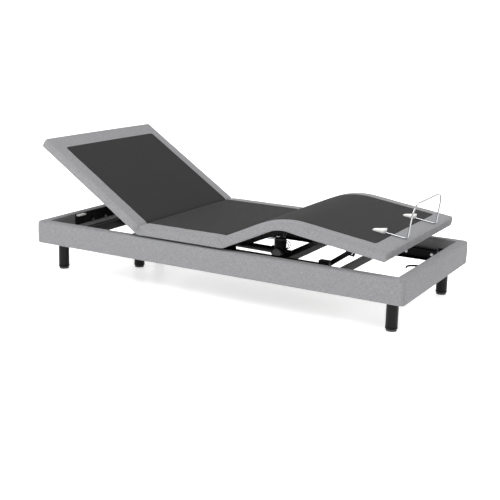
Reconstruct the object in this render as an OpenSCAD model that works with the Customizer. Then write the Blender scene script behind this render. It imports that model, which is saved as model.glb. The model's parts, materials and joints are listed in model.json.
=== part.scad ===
// Adjustable bed base with a raised head panel, a bent knee and a gliding seat carriage.
// Millimetres. +X runs from head to foot, +Z is up, the origin is on the floor under the centre.

/* [Frame] */
// Length of the upholstered frame
frame_length = 2000; // [1800:10:2200]
// Width of the upholstered frame
frame_width = 900; // [800:10:1200]
// Height of the frame's lower edge above the floor
frame_bottom = 148; // [100:1:260]
// Height of the upholstered rails
rail_height = 114; // [90:1:160]
// Thickness of the upholstered rails
rail_thickness = 50; // [44:1:70]

/* [Deck] */
// Thickness of each upholstered panel
deck_thickness = 50; // [44:1:60]
// Gap between the rails and the flat deck
deck_gap = 10; // [8:1:20]
// Width of the deck panels
deck_width = 900; // [780:10:1180]
// Length of the head panel, from its hinge
head_length = 692; // [600:1:760]
// Length of the thigh panel, hinge to knee
thigh_length = 307.5; // [260:0.5:360]
// Length of the calf panel, from the knee
calf_length = 524; // [460:1:560]
// Distance of the head hinge from the centre
head_hinge_back = 362; // [330:1:380]
// Distance of the thigh hinge from the centre
thigh_hinge_front = 101.8; // [80:0.1:130]
// Width of the pale border beside the dark cloth
border_width = 70; // [40:1:90]
// Thickness of the dark cloth
cloth_thickness = 2; // [1:0.5:3]
// Thickness of the wooden panel boards
board_thickness = 18; // [15:1:22]

/* [Pose] */
// Rise of the head panel in degrees
head_angle = 33; // [0:0.5:55]
// Rise of the thigh panel in degrees
thigh_angle = 24.4; // [0:0.1:38]
// Fall of the calf panel in degrees
calf_angle = 8.3; // [0:0.1:13]

/* [Legs] */
// Diameter of each leg
leg_diameter = 55; // [40:1:70]
// Distance of the leg axis from the frame's side
leg_inset_side = 109; // [90:1:140]
// Distance of the leg axis from the frame's end
leg_inset_end = 87; // [80:1:140]
// Distance of the middle legs from the centre, towards the head
middle_leg_back = 606; // [500:1:700]
// Sideways distance of each middle leg
middle_leg_side = 92; // [60:1:200]

/* [Retainer] */
// Diameter of the chrome bar
bar_diameter = 9; // [6:0.5:14]
// Height of the chrome bar over the dark cloth
bar_height = 160; // [90:1:200]
// Width between the bar's two uprights
bar_width = 386; // [250:1:500]

/* [Hidden] */
// Surfaces of revolution are true circles above twelve sides
$fn = 48;
// Shafts are this much smaller in radius than their holes
running_gap = 0.05;
// Gap kept between parts that pass each other
free_gap = 0.4;
// Wall of the steel tubes
tube_wall = 2;
// Thickness of steel plates
plate = 6;
// Thickness of the folded sheet of the side channels
sheet = 3;

// Rounding of the rails' edges and radius of the frame's corners seen from above
rail_round = 9;
rail_corner = 20;
half_length = frame_length / 2;
half_width = frame_width / 2;
frame_top = frame_bottom + rail_height;
inner_half_length = half_length - rail_thickness;
inner_half_width = half_width - rail_thickness;
deck_bottom = frame_top + deck_gap;
deck_top = deck_bottom + deck_thickness;
deck_half = deck_width / 2;
cloth_half = deck_half - border_width;
pad_top = deck_top - cloth_thickness;

// The valley hinges sit at mid thickness, the knee hinge near the underside
hinge_z = deck_top - 22;
knee_z = deck_top - 42;
head_x = -head_hinge_back;
thigh_x = thigh_hinge_front;
knee_x = thigh_x + thigh_length;
head_end = head_x - head_length;
calf_end = knee_x + calf_length;
fold_gap = 2;
// Rounding of the panels' outer edges
panel_round = 9;
valley_slope = 30;
ridge_slope = 26;

// Side channels and the frame tubes that join them
channel_z = frame_bottom + 2;
channel_height = 53;
channel_depth = 33;
channel_end = half_length - 140;
base_tube_x = [-875, -middle_leg_back, 604];
base_tube_width = [40, 50, 30];
base_tube_low = [4, 6, 22];
base_tube_height = [44, 24, 26];
base_tube_reach = inner_half_width - 4;

// Gliding carriage
carriage_z = frame_bottom + 64;
carriage_tube = [30, 38];
carriage_y = inner_half_width - 50;
carriage_back = -460;
carriage_front = 563;
cross_x = [-440, 360];
cross_width = [40, 50];
cross_z = [carriage_z - 36, carriage_z + 2];
cross_height = 28;
glide_x = [-430, 480];
glide_length = 50;

// Steel frames under the moving panels
sub_y = 300;
sub_width = 30;
sub_height = 25;
sub_z = deck_bottom - sub_height;
leaf_radius = 13;
pin_radius = 6;
leaf_y = sub_y + sub_width / 2;
carriage_leaf_y = carriage_y - carriage_tube[0] / 2 - plate;

// Linear actuators
head_drive_y = -145;
foot_drive_y = 80;
head_drive = [320, 222];
foot_drive = [-390, 222];
head_pin = [-10, -90];
foot_pin = [15, -90];
drive_pin_radius = 5;
eye_width = 20;
// Distance from the rear eye to the upright motor, its height above the rod and its radius
motor_back = 62;
motor_top = 54;
motor_radius = 30;

// Swinging link under the calf panel
link_pivot = [588, 240];
link_point = [315, -47];
link_plate_y = 322;
link_slot = 8;

// ---------- shared shapes ----------

module mirrored_y() {
  children();
  mirror([0, 1, 0])
    children();
}

module mirrored_x() {
  children();
  mirror([1, 0, 0])
    children();
}

// A box from one corner to the opposite corner
module box(low, high) {
  translate(low)
    cube(high - low);
}

// A cylinder along Y from one height to another
module rod_y(x, z, radius, low, high) {
  translate([x, low, z])
    rotate([-90, 0, 0])
      cylinder(r = radius, h = high - low);
}

// A flat plate in the XZ plane, cut from a profile
module plate_y(low, high) {
  translate([0, high, 0])
    rotate([90, 0, 0])
      linear_extrude(high - low)
        children();
}

// A rectangle with arcs at all four corners
module round_rectangle(low, high, radius) {
  translate([low[0] + radius, low[1]])
    square([high[0] - low[0] - 2 * radius, high[1] - low[1]]);
  translate([low[0], low[1] + radius])
    square([high[0] - low[0], high[1] - low[1] - 2 * radius]);
  for (x = [low[0] + radius, high[0] - radius])
    for (y = [low[1] + radius, high[1] - radius])
      translate([x, y])
        circle(r = radius);
}

// A hollow rectangular tube along Y
module tube_y(x, z, width, height, low, high) {
  difference() {
    box([x - width / 2, low, z], [x + width / 2, high, z + height]);
    box([x - width / 2 + tube_wall, low - 1, z + tube_wall],
      [x + width / 2 - tube_wall, high + 1, z + height - tube_wall]);
  }
}

// A hollow rectangular tube along X
module tube_x(y, z, width, height, low, high) {
  difference() {
    box([low, y - width / 2, z], [high, y + width / 2, z + height]);
    box([low - 1, y - width / 2 + tube_wall, z + tube_wall],
      [high + 1, y + width / 2 - tube_wall, z + height - tube_wall]);
  }
}

// A hexagon bolt head with its washer, pointing along +Z
module bolt_head(size) {
  cylinder(r = size, h = 1.5);
  translate([0, 0, 1.5])
    cylinder(r = size * 0.9, h = size * 0.65, $fn = 6);
}

// ---------- poses ----------

module head_pose() {
  translate([head_x, 0, hinge_z])
    rotate([0, head_angle, 0])
      translate([-head_x, 0, -hinge_z])
        children();
}

module thigh_pose() {
  translate([thigh_x, 0, hinge_z])
    rotate([0, -thigh_angle, 0])
      translate([-thigh_x, 0, -hinge_z])
        children();
}

module calf_pose() {
  thigh_pose()
    translate([knee_x, 0, knee_z])
      rotate([0, thigh_angle + calf_angle, 0])
        translate([-knee_x, 0, -knee_z])
          children();
}

// ---------- upholstered frame ----------

module rail_profile() {
  round_rectangle([0, frame_bottom], [rail_thickness, frame_top], rail_round);
}

// The outer part of the rail profile, from the corner's axis outward
module corner_profile() {
  square([rail_corner - rail_round, rail_height]);
  translate([0, rail_round])
    square([rail_corner, rail_height - 2 * rail_round]);
  for (z = [rail_round, rail_height - rail_round])
    translate([rail_corner - rail_round, z])
      circle(r = rail_round);
}

module rail_upholstery() {
  straight_x = half_length - rail_corner;
  straight_y = half_width - rail_corner;
  color([0.66, 0.67, 0.70])
    difference() {
      union() {
        for (side = [0, 1])
          mirror([0, side, 0])
            translate([-straight_x, inner_half_width, 0])
              rotate([90, 0, 90])
                linear_extrude(2 * straight_x)
                  rail_profile();
        for (end = [0, 1])
          mirror([end, 0, 0])
            translate([inner_half_length, straight_y, 0])
              rotate([90, 0, 0])
                linear_extrude(2 * straight_y)
                  rail_profile();
        for (end = [0, 1])
          for (side = [0, 1])
            mirror([end, 0, 0])
              mirror([0, side, 0])
                translate([straight_x, straight_y, frame_bottom])
                  rotate_extrude(angle = 90)
                    corner_profile();
      }
      side_core_shape(1);
      end_core_shape(1);
    }
}

// The pockets are cut with the same shape as the boards they hold
module side_core_shape(below) {
  mirrored_y()
    box([-half_length + 70, inner_half_width + 13, frame_bottom - below],
      [half_length - 70, half_width - 13, frame_top - 16]);
}

module end_core_shape(below) {
  mirrored_x()
    box([inner_half_length + 13, -inner_half_width + 20, frame_bottom - below],
      [half_length - 13, inner_half_width - 20, frame_top - 16]);
}

module side_rail_cores() {
  color([0.78, 0.62, 0.42])
    side_core_shape(0);
}

module end_rail_cores() {
  color([0.78, 0.62, 0.42])
    end_core_shape(0);
}

module side_channels() {
  color([0.10, 0.10, 0.11])
    mirrored_y()
      difference() {
        box([-channel_end, inner_half_width - channel_depth, channel_z],
          [channel_end, inner_half_width, channel_z + channel_height]);
        box([-channel_end - 1, inner_half_width - channel_depth - 1, channel_z + sheet],
          [channel_end + 1, inner_half_width - sheet, channel_z + channel_height - sheet]);
      }
}

module base_tubes() {
  color([0.10, 0.10, 0.11])
    for (i = [0:2])
      tube_y(base_tube_x[i], channel_z + base_tube_low[i], base_tube_width[i], base_tube_height[i],
        -base_tube_reach, base_tube_reach);
}

// A foot plate for the leg with two upright walls; the outer corner is cut back to clear the cloth
module corner_brackets() {
  near_x = channel_end + 8;
  near_y = inner_half_width - 138;
  far_x = inner_half_length;
  far_y = inner_half_width;
  wall = 4;
  cut = 7;
  color([0.10, 0.10, 0.11])
    mirrored_x()
      mirrored_y() {
        translate([0, 0, frame_bottom])
          linear_extrude(plate)
            polygon([[near_x, near_y], [far_x, near_y], [far_x, far_y - cut], [far_x - cut, far_y],
              [near_x, far_y]]);
        translate([0, 0, frame_bottom + plate])
          linear_extrude(60)
            polygon([[near_x, far_y], [far_x - cut, far_y], [far_x, far_y - cut], [far_x, near_y],
              [far_x - wall, near_y], [far_x - wall, far_y - cut - wall / 2],
              [far_x - cut - wall / 2, far_y - wall], [near_x, far_y - wall]]);
      }
}

// The same bolt holds the side channels, the corner brackets and the plate at the head end
module frame_bolts() {
  color([0.62, 0.63, 0.65]) {
    mirrored_y()
      for (x = [-830, -690, -250, 0, 250, 700, 835])
        translate([x, inner_half_width - sheet, channel_z + channel_height / 2])
          rotate([90, 0, 0])
            bolt_head(8);
    mirrored_x()
      mirrored_y() {
        for (y = [inner_half_width - 110, inner_half_width - 55])
          translate([inner_half_length - 4, y, frame_bottom + 42])
            rotate([0, -90, 0])
              bolt_head(8);
        translate([inner_half_length - 42, inner_half_width - 4, frame_bottom + 42])
          rotate([90, 0, 0])
            bolt_head(8);
      }
    for (y = [-56, 56, 160])
      translate([-inner_half_length + 5, y, frame_bottom + 62])
        rotate([0, 90, 0])
          bolt_head(8);
  }
}

// A leg with a slightly wider foot
module leg(height) {
  radius = leg_diameter / 2;
  rotate_extrude()
    polygon([[0, 8], [radius, 8], [radius + 1, 10], [radius + 1, 15], [radius, 19],
      [radius, height - 1.5], [radius - 1.5, height], [0, height]]);
}

module corner_legs() {
  color([0.06, 0.06, 0.065])
    mirrored_x()
      mirrored_y()
        translate([half_length - leg_inset_end, half_width - leg_inset_side, 0])
          leg(frame_bottom);
}

module middle_legs() {
  plate_z = channel_z + base_tube_low[1];
  color([0.06, 0.06, 0.065])
    mirrored_y()
      translate([-middle_leg_back, middle_leg_side, 0]) {
        leg(plate_z - plate);
        box([-38, -38, plate_z - plate], [38, 38, plate_z]);
      }
}

module leg_glides() {
  color([0.30, 0.30, 0.31])
    for (side = [-1, 1]) {
      for (end = [-1, 1])
        translate([end * (half_length - leg_inset_end), side * (half_width - leg_inset_side), 0])
          cylinder(r = leg_diameter / 2 - 3, h = 8);
      translate([-middle_leg_back, side * middle_leg_side, 0])
        cylinder(r = leg_diameter / 2 - 3, h = 8);
    }
}

module leg_studs() {
  color([0.62, 0.63, 0.65])
    mirrored_x()
      mirrored_y()
        translate([half_length - leg_inset_end, half_width - leg_inset_side, frame_bottom + plate]) {
          cylinder(r = 5, h = 16);
          cylinder(r = 9, h = 8, $fn = 6);
        }
}

module head_end_plate() {
  color([0.12, 0.12, 0.125])
    box([-inner_half_length, -200, frame_bottom + 52], [-inner_half_length + 5, 200, frame_top - 2]);
}

module edge_clip() {
  color([0.86, 0.86, 0.84])
    box([-inner_half_length + 5, -198, frame_top - 12], [-inner_half_length + 26, -140, frame_top - 5]);
}

// A box on the first frame tube, with a socket in its foot-side face
supply_x = base_tube_x[0] + base_tube_width[0] / 2;
supply_z = channel_z + base_tube_low[0] + 2;

module power_supply() {
  color([0.13, 0.13, 0.135])
    difference() {
      union() {
        box([supply_x + 12, 130, supply_z], [supply_x + 86, 290, supply_z + 44]);
        box([supply_x, 110, supply_z + 6], [supply_x + 12, 310, supply_z + 30]);
      }
      box([supply_x + 72, 230, supply_z + 11], [supply_x + 87, 262, supply_z + 31]);
    }
}

module mains_inlet() {
  color([0.05, 0.05, 0.05])
    box([supply_x + 72, 230, supply_z + 11], [supply_x + 84, 262, supply_z + 31]);
}

// A quarter of a round bar's bend in the XY plane, from +X round to +Y
module bar_bend(bend_radius, radius) {
  rotate_extrude(angle = 90)
    translate([bend_radius, 0])
      circle(r = radius);
}

// A short tail of cable that comes out of a gland on the foot rail and ends in a drooping tip
module cable_hook() {
  height = 226;
  radius = 4.5;
  run = 76;
  droop = 10;
  color([0.05, 0.05, 0.052])
    translate([inner_half_length, -32, height]) {
      rotate([0, -90, 0])
        cylinder(r = 10, h = 12);
      rotate([0, 0, 29])
        translate([-8, 0, 0]) {
          rotate([0, -90, 0])
            cylinder(r = radius, h = run);
          translate([-run, 0, -droop])
            rotate([90, 0, 180])
              rotate_extrude(angle = 90)
                translate([droop, 0])
                  circle(r = radius);
        }
    }
}

// ---------- carriage ----------

module carriage_side_tubes() {
  color([0.09, 0.09, 0.095])
    mirrored_y()
      tube_x(carriage_y, carriage_z, carriage_tube[0], carriage_tube[1], carriage_back, carriage_front);
}

// The rear cross tube hangs below the side tubes on two plates, clear of the actuators
module carriage_cross_tubes() {
  reach = carriage_y - carriage_tube[0] / 2;
  color([0.09, 0.09, 0.095])
    for (i = [0, 1])
      tube_y(cross_x[i], cross_z[i], cross_width[i], cross_height, -reach, reach);
  color([0.09, 0.09, 0.095])
    mirrored_y()
      box([cross_x[0] - 20, reach - plate, cross_z[0] + cross_height],
        [cross_x[0] + 20, reach, carriage_z + 34]);
}

module carriage_end_blocks() {
  color([0.05, 0.05, 0.052])
    mirrored_y()
      difference() {
        box([carriage_front, carriage_y - 15, carriage_z], [carriage_front + 50, carriage_y + 15, deck_bottom - 4]);
        rod_y(link_pivot[0], link_pivot[1], pin_radius + running_gap, carriage_y - 16, carriage_y + 16);
      }
}

// Each glide hangs below the side tube and runs inside the side channel
module glide_brackets() {
  color([0.09, 0.09, 0.095])
    mirrored_y()
      for (x = glide_x)
        box([x - 20, carriage_y + 10, channel_z + 10], [x + 20, carriage_y + 14, carriage_z]);
}

module glide_blocks() {
  color([0.86, 0.86, 0.84])
    mirrored_y()
      for (x = glide_x)
        box([x - glide_length / 2, carriage_y + 14, channel_z + sheet + free_gap],
          [x + glide_length / 2, inner_half_width - sheet - free_gap,
            channel_z + channel_height - sheet - free_gap]);
}

module seat_spacers() {
  color([0.05, 0.05, 0.052])
    mirrored_y()
      for (x = [-300, -120, 60])
        box([x - 22, carriage_y - 13, carriage_z + carriage_tube[1]], [x + 22, carriage_y + 13, deck_bottom]);
}

// The rounded cross section that every panel shares
module deck_section() {
  round_rectangle([-deck_half, deck_bottom], [deck_half, pad_top], panel_round);
}

module deck_length(low, high) {
  translate([low, 0, 0])
    rotate([90, 0, 90])
      linear_extrude(high - low)
        deck_section();
}

// A pad is the shared section cut to a side profile, with a pocket for its board
module panel_pad(low, high, board_low, board_high) {
  difference() {
    intersection() {
      deck_length(low, high);
      plate_y(-deck_half - 1, deck_half + 1)
        children();
    }
    panel_board(board_low, board_high, 1);
  }
}

module panel_board(low, high, below) {
  box([low, -deck_half + 36, deck_bottom - below], [high, deck_half - 36, deck_bottom + board_thickness]);
}

module panel_cloth(low, high) {
  box([low, -cloth_half, pad_top], [high, cloth_half, deck_top]);
}

// The rounded free end of a panel, in side view; run is its length
module end_profile(run) {
  radius = panel_round;
  square([run - radius, pad_top - deck_bottom]);
  translate([0, radius])
    square([run, pad_top - deck_bottom - 2 * radius]);
  for (z = [radius, pad_top - deck_bottom - radius])
    translate([run - radius, z])
      circle(r = radius);
}

// Half width of a valley at a given height above its hinge
function valley(rise) = fold_gap + rise * tan(valley_slope);
// Half width of the knee's lower gap at a given depth below its hinge
function ridge(drop) = fold_gap + drop * tan(ridge_slope);

// Room in a pad for the hinge leaves, cut from below
module leaf_room(x, z) {
  mirrored_y()
    box([x - 34, sub_y - 30, deck_bottom - 1], [x + 34, carriage_y - 12, z + leaf_radius + 3]);
}

module seat_board() {
  color([0.78, 0.62, 0.42])
    panel_board(head_x + 36, thigh_x - 36, 0);
}

module seat_pad() {
  color([0.68, 0.69, 0.72])
    difference() {
      panel_pad(head_x, thigh_x, head_x + 36, thigh_x - 36)
        polygon([[head_x + fold_gap, deck_bottom - 1], [thigh_x - fold_gap, deck_bottom - 1],
          [thigh_x - fold_gap, hinge_z], [thigh_x - valley(22), deck_top],
          [head_x + valley(22), deck_top], [head_x + fold_gap, hinge_z]]);
      leaf_room(head_x, hinge_z);
      leaf_room(thigh_x, hinge_z);
    }
}

module seat_cloth() {
  color([0.20, 0.20, 0.21])
    panel_cloth(head_x + valley(22) + 1, thigh_x - valley(22) - 1);
}

// A hinge leaf: a strip that rises to a round end with a hole
module leaf(x, z, foot_low, foot_high, foot_z, low, high) {
  difference() {
    union() {
      plate_y(low, high)
        polygon([[foot_low, foot_z], [foot_high, foot_z], [x + leaf_radius, z], [x - leaf_radius, z]]);
      rod_y(x, z, leaf_radius, low, high);
    }
    rod_y(x, z, pin_radius + running_gap, low - 1, high + 1);
  }
}

module carriage_leaves() {
  color([0.09, 0.09, 0.095])
    mirrored_y() {
      leaf(head_x, hinge_z, head_x - 22, head_x + 30, carriage_z + 3, carriage_leaf_y, carriage_leaf_y + plate);
      leaf(thigh_x, hinge_z, thigh_x - 30, thigh_x + 22, carriage_z + 3, carriage_leaf_y, carriage_leaf_y + plate);
    }
}

// Each hinge pin has an inner head, a collar between the leaves and a shank in the outer leaf;
// two plain pins hold the rear eyes of the actuators
module carriage_pins() {
  color([0.62, 0.63, 0.65])
    mirrored_y()
      for (x = [head_x, thigh_x]) {
        rod_y(x, hinge_z, pin_radius, leaf_y - 0.5, carriage_leaf_y + plate);
        rod_y(x, hinge_z, pin_radius + 3, leaf_y - 6, leaf_y - 0.5);
        rod_y(x, hinge_z, pin_radius + 3, leaf_y + plate + free_gap, carriage_leaf_y);
      }
  color([0.62, 0.63, 0.65]) {
    rod_y(head_drive[0], head_drive[1], drive_pin_radius, head_drive_y - 19, head_drive_y + 19);
    rod_y(foot_drive[0], foot_drive[1], drive_pin_radius, foot_drive_y - 19, foot_drive_y + 19);
  }
}

// Two cheeks that hold an actuator's rear eye; face and low place the tube side they are welded to
module drive_bracket(point, face, low, y) {
  for (side = [-1, 1])
    difference() {
      union() {
        plate_y(y + side * 14 - 3, y + side * 14 + 3)
          polygon([[face, low + 1], [face, low + cross_height - 1], [point[0], point[1] + 10],
            [point[0], point[1] - 10]]);
        rod_y(point[0], point[1], 10, y + side * 14 - 3, y + side * 14 + 3);
      }
      rod_y(point[0], point[1], drive_pin_radius, y - 20, y + 20);
    }
}

module drive_brackets() {
  color([0.09, 0.09, 0.095]) {
    drive_bracket(head_drive, cross_x[1] - cross_width[1] / 2, cross_z[1], head_drive_y);
    drive_bracket(foot_drive, cross_x[0] + cross_width[0] / 2, cross_z[0], foot_drive_y);
  }
}

// Hung from the seat board, with three sockets in its foot-side face
module control_box() {
  color([0.13, 0.13, 0.135])
    difference() {
      union() {
        box([-95, 160, deck_bottom - 42], [15, 300, deck_bottom - 4]);
        box([-110, 180, deck_bottom - 4], [30, 280, deck_bottom]);
      }
      for (y = [180, 215, 250])
        box([8, y, deck_bottom - 32], [16, y + 18, deck_bottom - 16]);
    }
}

// ---------- head panel ----------

module head_board() {
  color([0.78, 0.62, 0.42])
    head_pose()
      panel_board(head_end + 36, head_x - 36, 0);
}

module head_pad() {
  color([0.68, 0.69, 0.72])
    head_pose()
      difference() {
        panel_pad(head_end, head_x, head_end + 36, head_x - 36)
          difference() {
            translate([head_x, deck_bottom])
              mirror([1, 0])
                end_profile(head_length);
            polygon([[head_x + 1, deck_bottom - 1], [head_x - fold_gap, deck_bottom - 1],
              [head_x - fold_gap, hinge_z], [head_x - valley(22), deck_top], [head_x + 1, deck_top]]);
          }
        leaf_room(head_x, hinge_z);
      }
}

module head_cloth() {
  color([0.20, 0.20, 0.21])
    head_pose()
      panel_cloth(head_end + border_width + 15, head_x - valley(22) - 1);
}

// Side tubes joined by cross tubes of the same height
module subframe(low, high, crossings) {
  mirrored_y()
    tube_x(sub_y, sub_z, sub_width, sub_height, low, high);
  for (x = crossings)
    tube_y(x, sub_z, 30, sub_height, -sub_y + sub_width / 2, sub_y - sub_width / 2);
}

module head_subframe() {
  color([0.09, 0.09, 0.095])
    head_pose()
      subframe(head_end + 90, head_x - 24, [head_end + 120, head_end + 360, head_x - 50]);
}

module head_leaves() {
  color([0.09, 0.09, 0.095])
    head_pose()
      mirrored_y()
        difference() {
          union() {
            plate_y(leaf_y, leaf_y + plate)
              polygon([[head_x - 90, sub_z + 2], [head_x - 24, sub_z + 2], [head_x + leaf_radius - 2, hinge_z - 6],
                [head_x, hinge_z + 2], [head_x - 30, deck_bottom - 1], [head_x - 90, deck_bottom - 1]]);
            rod_y(head_x, hinge_z, leaf_radius, leaf_y, leaf_y + plate);
          }
          rod_y(head_x, hinge_z, pin_radius + running_gap, leaf_y - 1, leaf_y + plate + 1);
        }
}

// Two cheeks and a pin that an actuator's slotted eye pushes against
module lever(x, z, pin, y, root_low, root_high) {
  for (side = [-1, 1])
    plate_y(y + side * 15 - 3, y + side * 15 + 3)
      polygon([[root_low, sub_z], [root_high, sub_z], [x + pin[0] + 9, z + pin[1]],
        [x + pin[0], z + pin[1] - 9], [x + pin[0] - 9, z + pin[1]]]);
  rod_y(x + pin[0], z + pin[1], drive_pin_radius, y - 12, y + 12);
}

module head_lever() {
  color([0.09, 0.09, 0.095])
    head_pose()
      lever(head_x, hinge_z, head_pin, head_drive_y, head_x - 62, head_x - 36);
}

// ---------- thigh panel ----------

// The board has an opening over the upright motor of the head actuator
module thigh_board() {
  motor = head_drive[0] - motor_back;
  color([0.78, 0.62, 0.42])
    thigh_pose()
      difference() {
        panel_board(thigh_x + 36, knee_x - 36, 0);
        box([motor - 66, head_drive_y - 56, deck_bottom - 1],
          [motor + 68, head_drive_y + 56, deck_bottom + board_thickness + 1]);
      }
}

module thigh_pad() {
  color([0.68, 0.69, 0.72])
    thigh_pose()
      difference() {
        panel_pad(thigh_x, knee_x, thigh_x + 36, knee_x - 36)
          polygon([[thigh_x + fold_gap, deck_bottom - 1], [knee_x - ridge(9), deck_bottom - 1],
            [knee_x - fold_gap, knee_z], [knee_x - fold_gap, deck_top],
            [thigh_x + valley(22), deck_top], [thigh_x + fold_gap, hinge_z]]);
        leaf_room(thigh_x, hinge_z);
        leaf_room(knee_x, knee_z);
      }
}

module thigh_cloth() {
  color([0.20, 0.20, 0.21])
    thigh_pose()
      panel_cloth(thigh_x + valley(22) + 1, knee_x - fold_gap);
}

module thigh_subframe() {
  color([0.09, 0.09, 0.095])
    thigh_pose()
      subframe(thigh_x + 24, knee_x - 24, [thigh_x + 50, knee_x - 60]);
}

// One leaf at the seat end and one at the knee end, both on the tube's outer face
module thigh_leaves() {
  color([0.09, 0.09, 0.095])
    thigh_pose()
      mirrored_y()
        difference() {
          union() {
            plate_y(leaf_y, leaf_y + plate)
              polygon([[thigh_x + 90, sub_z + 2], [thigh_x + 24, sub_z + 2], [thigh_x - leaf_radius + 2, hinge_z - 6],
                [thigh_x, hinge_z + 2], [thigh_x + 30, deck_bottom - 1], [thigh_x + 90, deck_bottom - 1]]);
            rod_y(thigh_x, hinge_z, leaf_radius, leaf_y, leaf_y + plate);
            plate_y(leaf_y, leaf_y + plate)
              polygon([[knee_x - 90, sub_z + 2], [knee_x - 30, sub_z + 2], [knee_x, knee_z - leaf_radius],
                [knee_x, knee_z + leaf_radius], [knee_x - 30, deck_bottom - 1], [knee_x - 90, deck_bottom - 1]]);
            rod_y(knee_x, knee_z, leaf_radius, leaf_y, leaf_y + plate);
          }
          rod_y(thigh_x, hinge_z, pin_radius + running_gap, leaf_y - 1, leaf_y + plate + 1);
        }
}

module thigh_lever() {
  color([0.09, 0.09, 0.095])
    thigh_pose()
      lever(thigh_x, hinge_z, foot_pin, foot_drive_y, thigh_x + 36, thigh_x + 62);
}

// The knee pins are fixed in the thigh's leaves and carry the calf's leaves
module knee_pins() {
  color([0.62, 0.63, 0.65])
    thigh_pose()
      mirrored_y() {
        rod_y(knee_x, knee_z, pin_radius, sub_y - 22, leaf_y);
        rod_y(knee_x, knee_z, pin_radius + 3, sub_y - 14, leaf_y);
        rod_y(knee_x, knee_z, pin_radius + 3, sub_y - 27, sub_y - 22);
      }
}

// ---------- calf panel ----------

module calf_board() {
  color([0.78, 0.62, 0.42])
    calf_pose()
      panel_board(knee_x + 36, calf_end - 36, 0);
}

module calf_pad() {
  color([0.68, 0.69, 0.72])
    calf_pose()
      difference() {
        panel_pad(knee_x, calf_end, knee_x + 36, calf_end - 36)
          difference() {
            translate([knee_x, deck_bottom])
              end_profile(calf_length);
            polygon([[knee_x - 1, deck_bottom - 1], [knee_x + ridge(9), deck_bottom - 1],
              [knee_x + fold_gap, knee_z], [knee_x + fold_gap, deck_top], [knee_x - 1, deck_top]]);
          }
        leaf_room(knee_x, knee_z);
      }
}

module calf_cloth() {
  color([0.20, 0.20, 0.21])
    calf_pose()
      panel_cloth(knee_x + fold_gap, calf_end - border_width - 10);
}

module calf_subframe() {
  color([0.09, 0.09, 0.095])
    calf_pose()
      subframe(knee_x + 24, calf_end - 70, [knee_x + 112, calf_end - 100]);
}

module calf_leaves() {
  low = sub_y - sub_width / 2 - plate;
  color([0.09, 0.09, 0.095])
    calf_pose()
      mirrored_y()
        difference() {
          union() {
            plate_y(low, low + plate)
              polygon([[knee_x + 90, sub_z + 2], [knee_x + 30, sub_z + 2], [knee_x, knee_z - leaf_radius],
                [knee_x, knee_z + leaf_radius], [knee_x + 30, deck_bottom - 1], [knee_x + 90, deck_bottom - 1]]);
            rod_y(knee_x, knee_z, leaf_radius, low, low + plate);
          }
          rod_y(knee_x, knee_z, pin_radius + running_gap, low - 1, low + plate + 1);
        }
}

// A plate on the outer face of each calf tube; the link's end pin has play in its wide hole
module link_brackets() {
  x = knee_x + link_point[0];
  z = knee_z + link_point[1];
  reach = link_slot + pin_radius;
  color([0.09, 0.09, 0.095])
    calf_pose()
      mirrored_y()
        difference() {
          plate_y(leaf_y, leaf_y + plate)
            polygon([[x - reach - 16, sub_z + 20], [x + reach + 16, sub_z + 20], [x + reach + 6, z - reach - 4],
              [x - reach - 6, z - reach - 4]]);
          rod_y(x, z, reach, leaf_y - 1, leaf_y + plate + 1);
        }
}

// One bent rod: two runs on the cloth, two uprights and a bar across
module retainer_bar() {
  r = bar_diameter / 2;
  half = bar_width / 2;
  start = knee_x + 390;
  bend = calf_end - 8;
  low = deck_top + r + 1;
  top = deck_top + bar_height;
  foot_bend = 13;
  top_bend = 62;
  color([0.80, 0.81, 0.83])
    calf_pose() {
      for (side = [-1, 1]) {
        translate([start, side * half, low])
          rotate([0, 90, 0])
            cylinder(r = r, h = bend - start - foot_bend);
        translate([bend - foot_bend, side * half, low + foot_bend])
          rotate([90, 0, 0])
            rotate([0, 0, -90])
              bar_bend(foot_bend, r);
        translate([bend, side * half, low + foot_bend])
          cylinder(r = r, h = top - top_bend - low - foot_bend);
      }
      translate([bend, half - top_bend, top - top_bend])
        rotate([90, 0, 90])
          bar_bend(top_bend, r);
      translate([bend, top_bend - half, top - top_bend])
        rotate([90, 0, 90])
          rotate([0, 0, 90])
            bar_bend(top_bend, r);
      rod_y(bend, top, r, top_bend - half, half - top_bend);
    }
}

// Tapered plastic clips that hold the bar's two ends on the cloth
module retainer_clips() {
  half = bar_width / 2;
  start = knee_x + 350;
  color([0.90, 0.90, 0.89])
    calf_pose()
      mirrored_y()
        difference() {
          translate([start, 0, 0])
            intersection() {
              linear_extrude(deck_top + 30)
                polygon([[0, half - 10], [64, half - 25], [64, half + 25], [0, half + 10]]);
              plate_y(half - 40, half + 40)
                polygon([[0, deck_top], [64, deck_top], [64, deck_top + 24], [0, deck_top + 7]]);
            }
          translate([start + 40, half, deck_top + bar_diameter / 2 + 1])
            rotate([0, 90, 0])
              cylinder(r = bar_diameter / 2, h = 30);
        }
}

// ---------- calf link ----------

// Distance and direction from the link's pivot to its end pin, found from the pose
knee_up = thigh_length * sin(thigh_angle) - (hinge_z - knee_z) * cos(thigh_angle);
knee_out = thigh_length * cos(thigh_angle) + (hinge_z - knee_z) * sin(thigh_angle);
link_end_x = thigh_x + knee_out + link_point[0] * cos(calf_angle) + link_point[1] * sin(calf_angle);
link_end_z = hinge_z + knee_up - link_point[0] * sin(calf_angle) + link_point[1] * cos(calf_angle);

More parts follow.
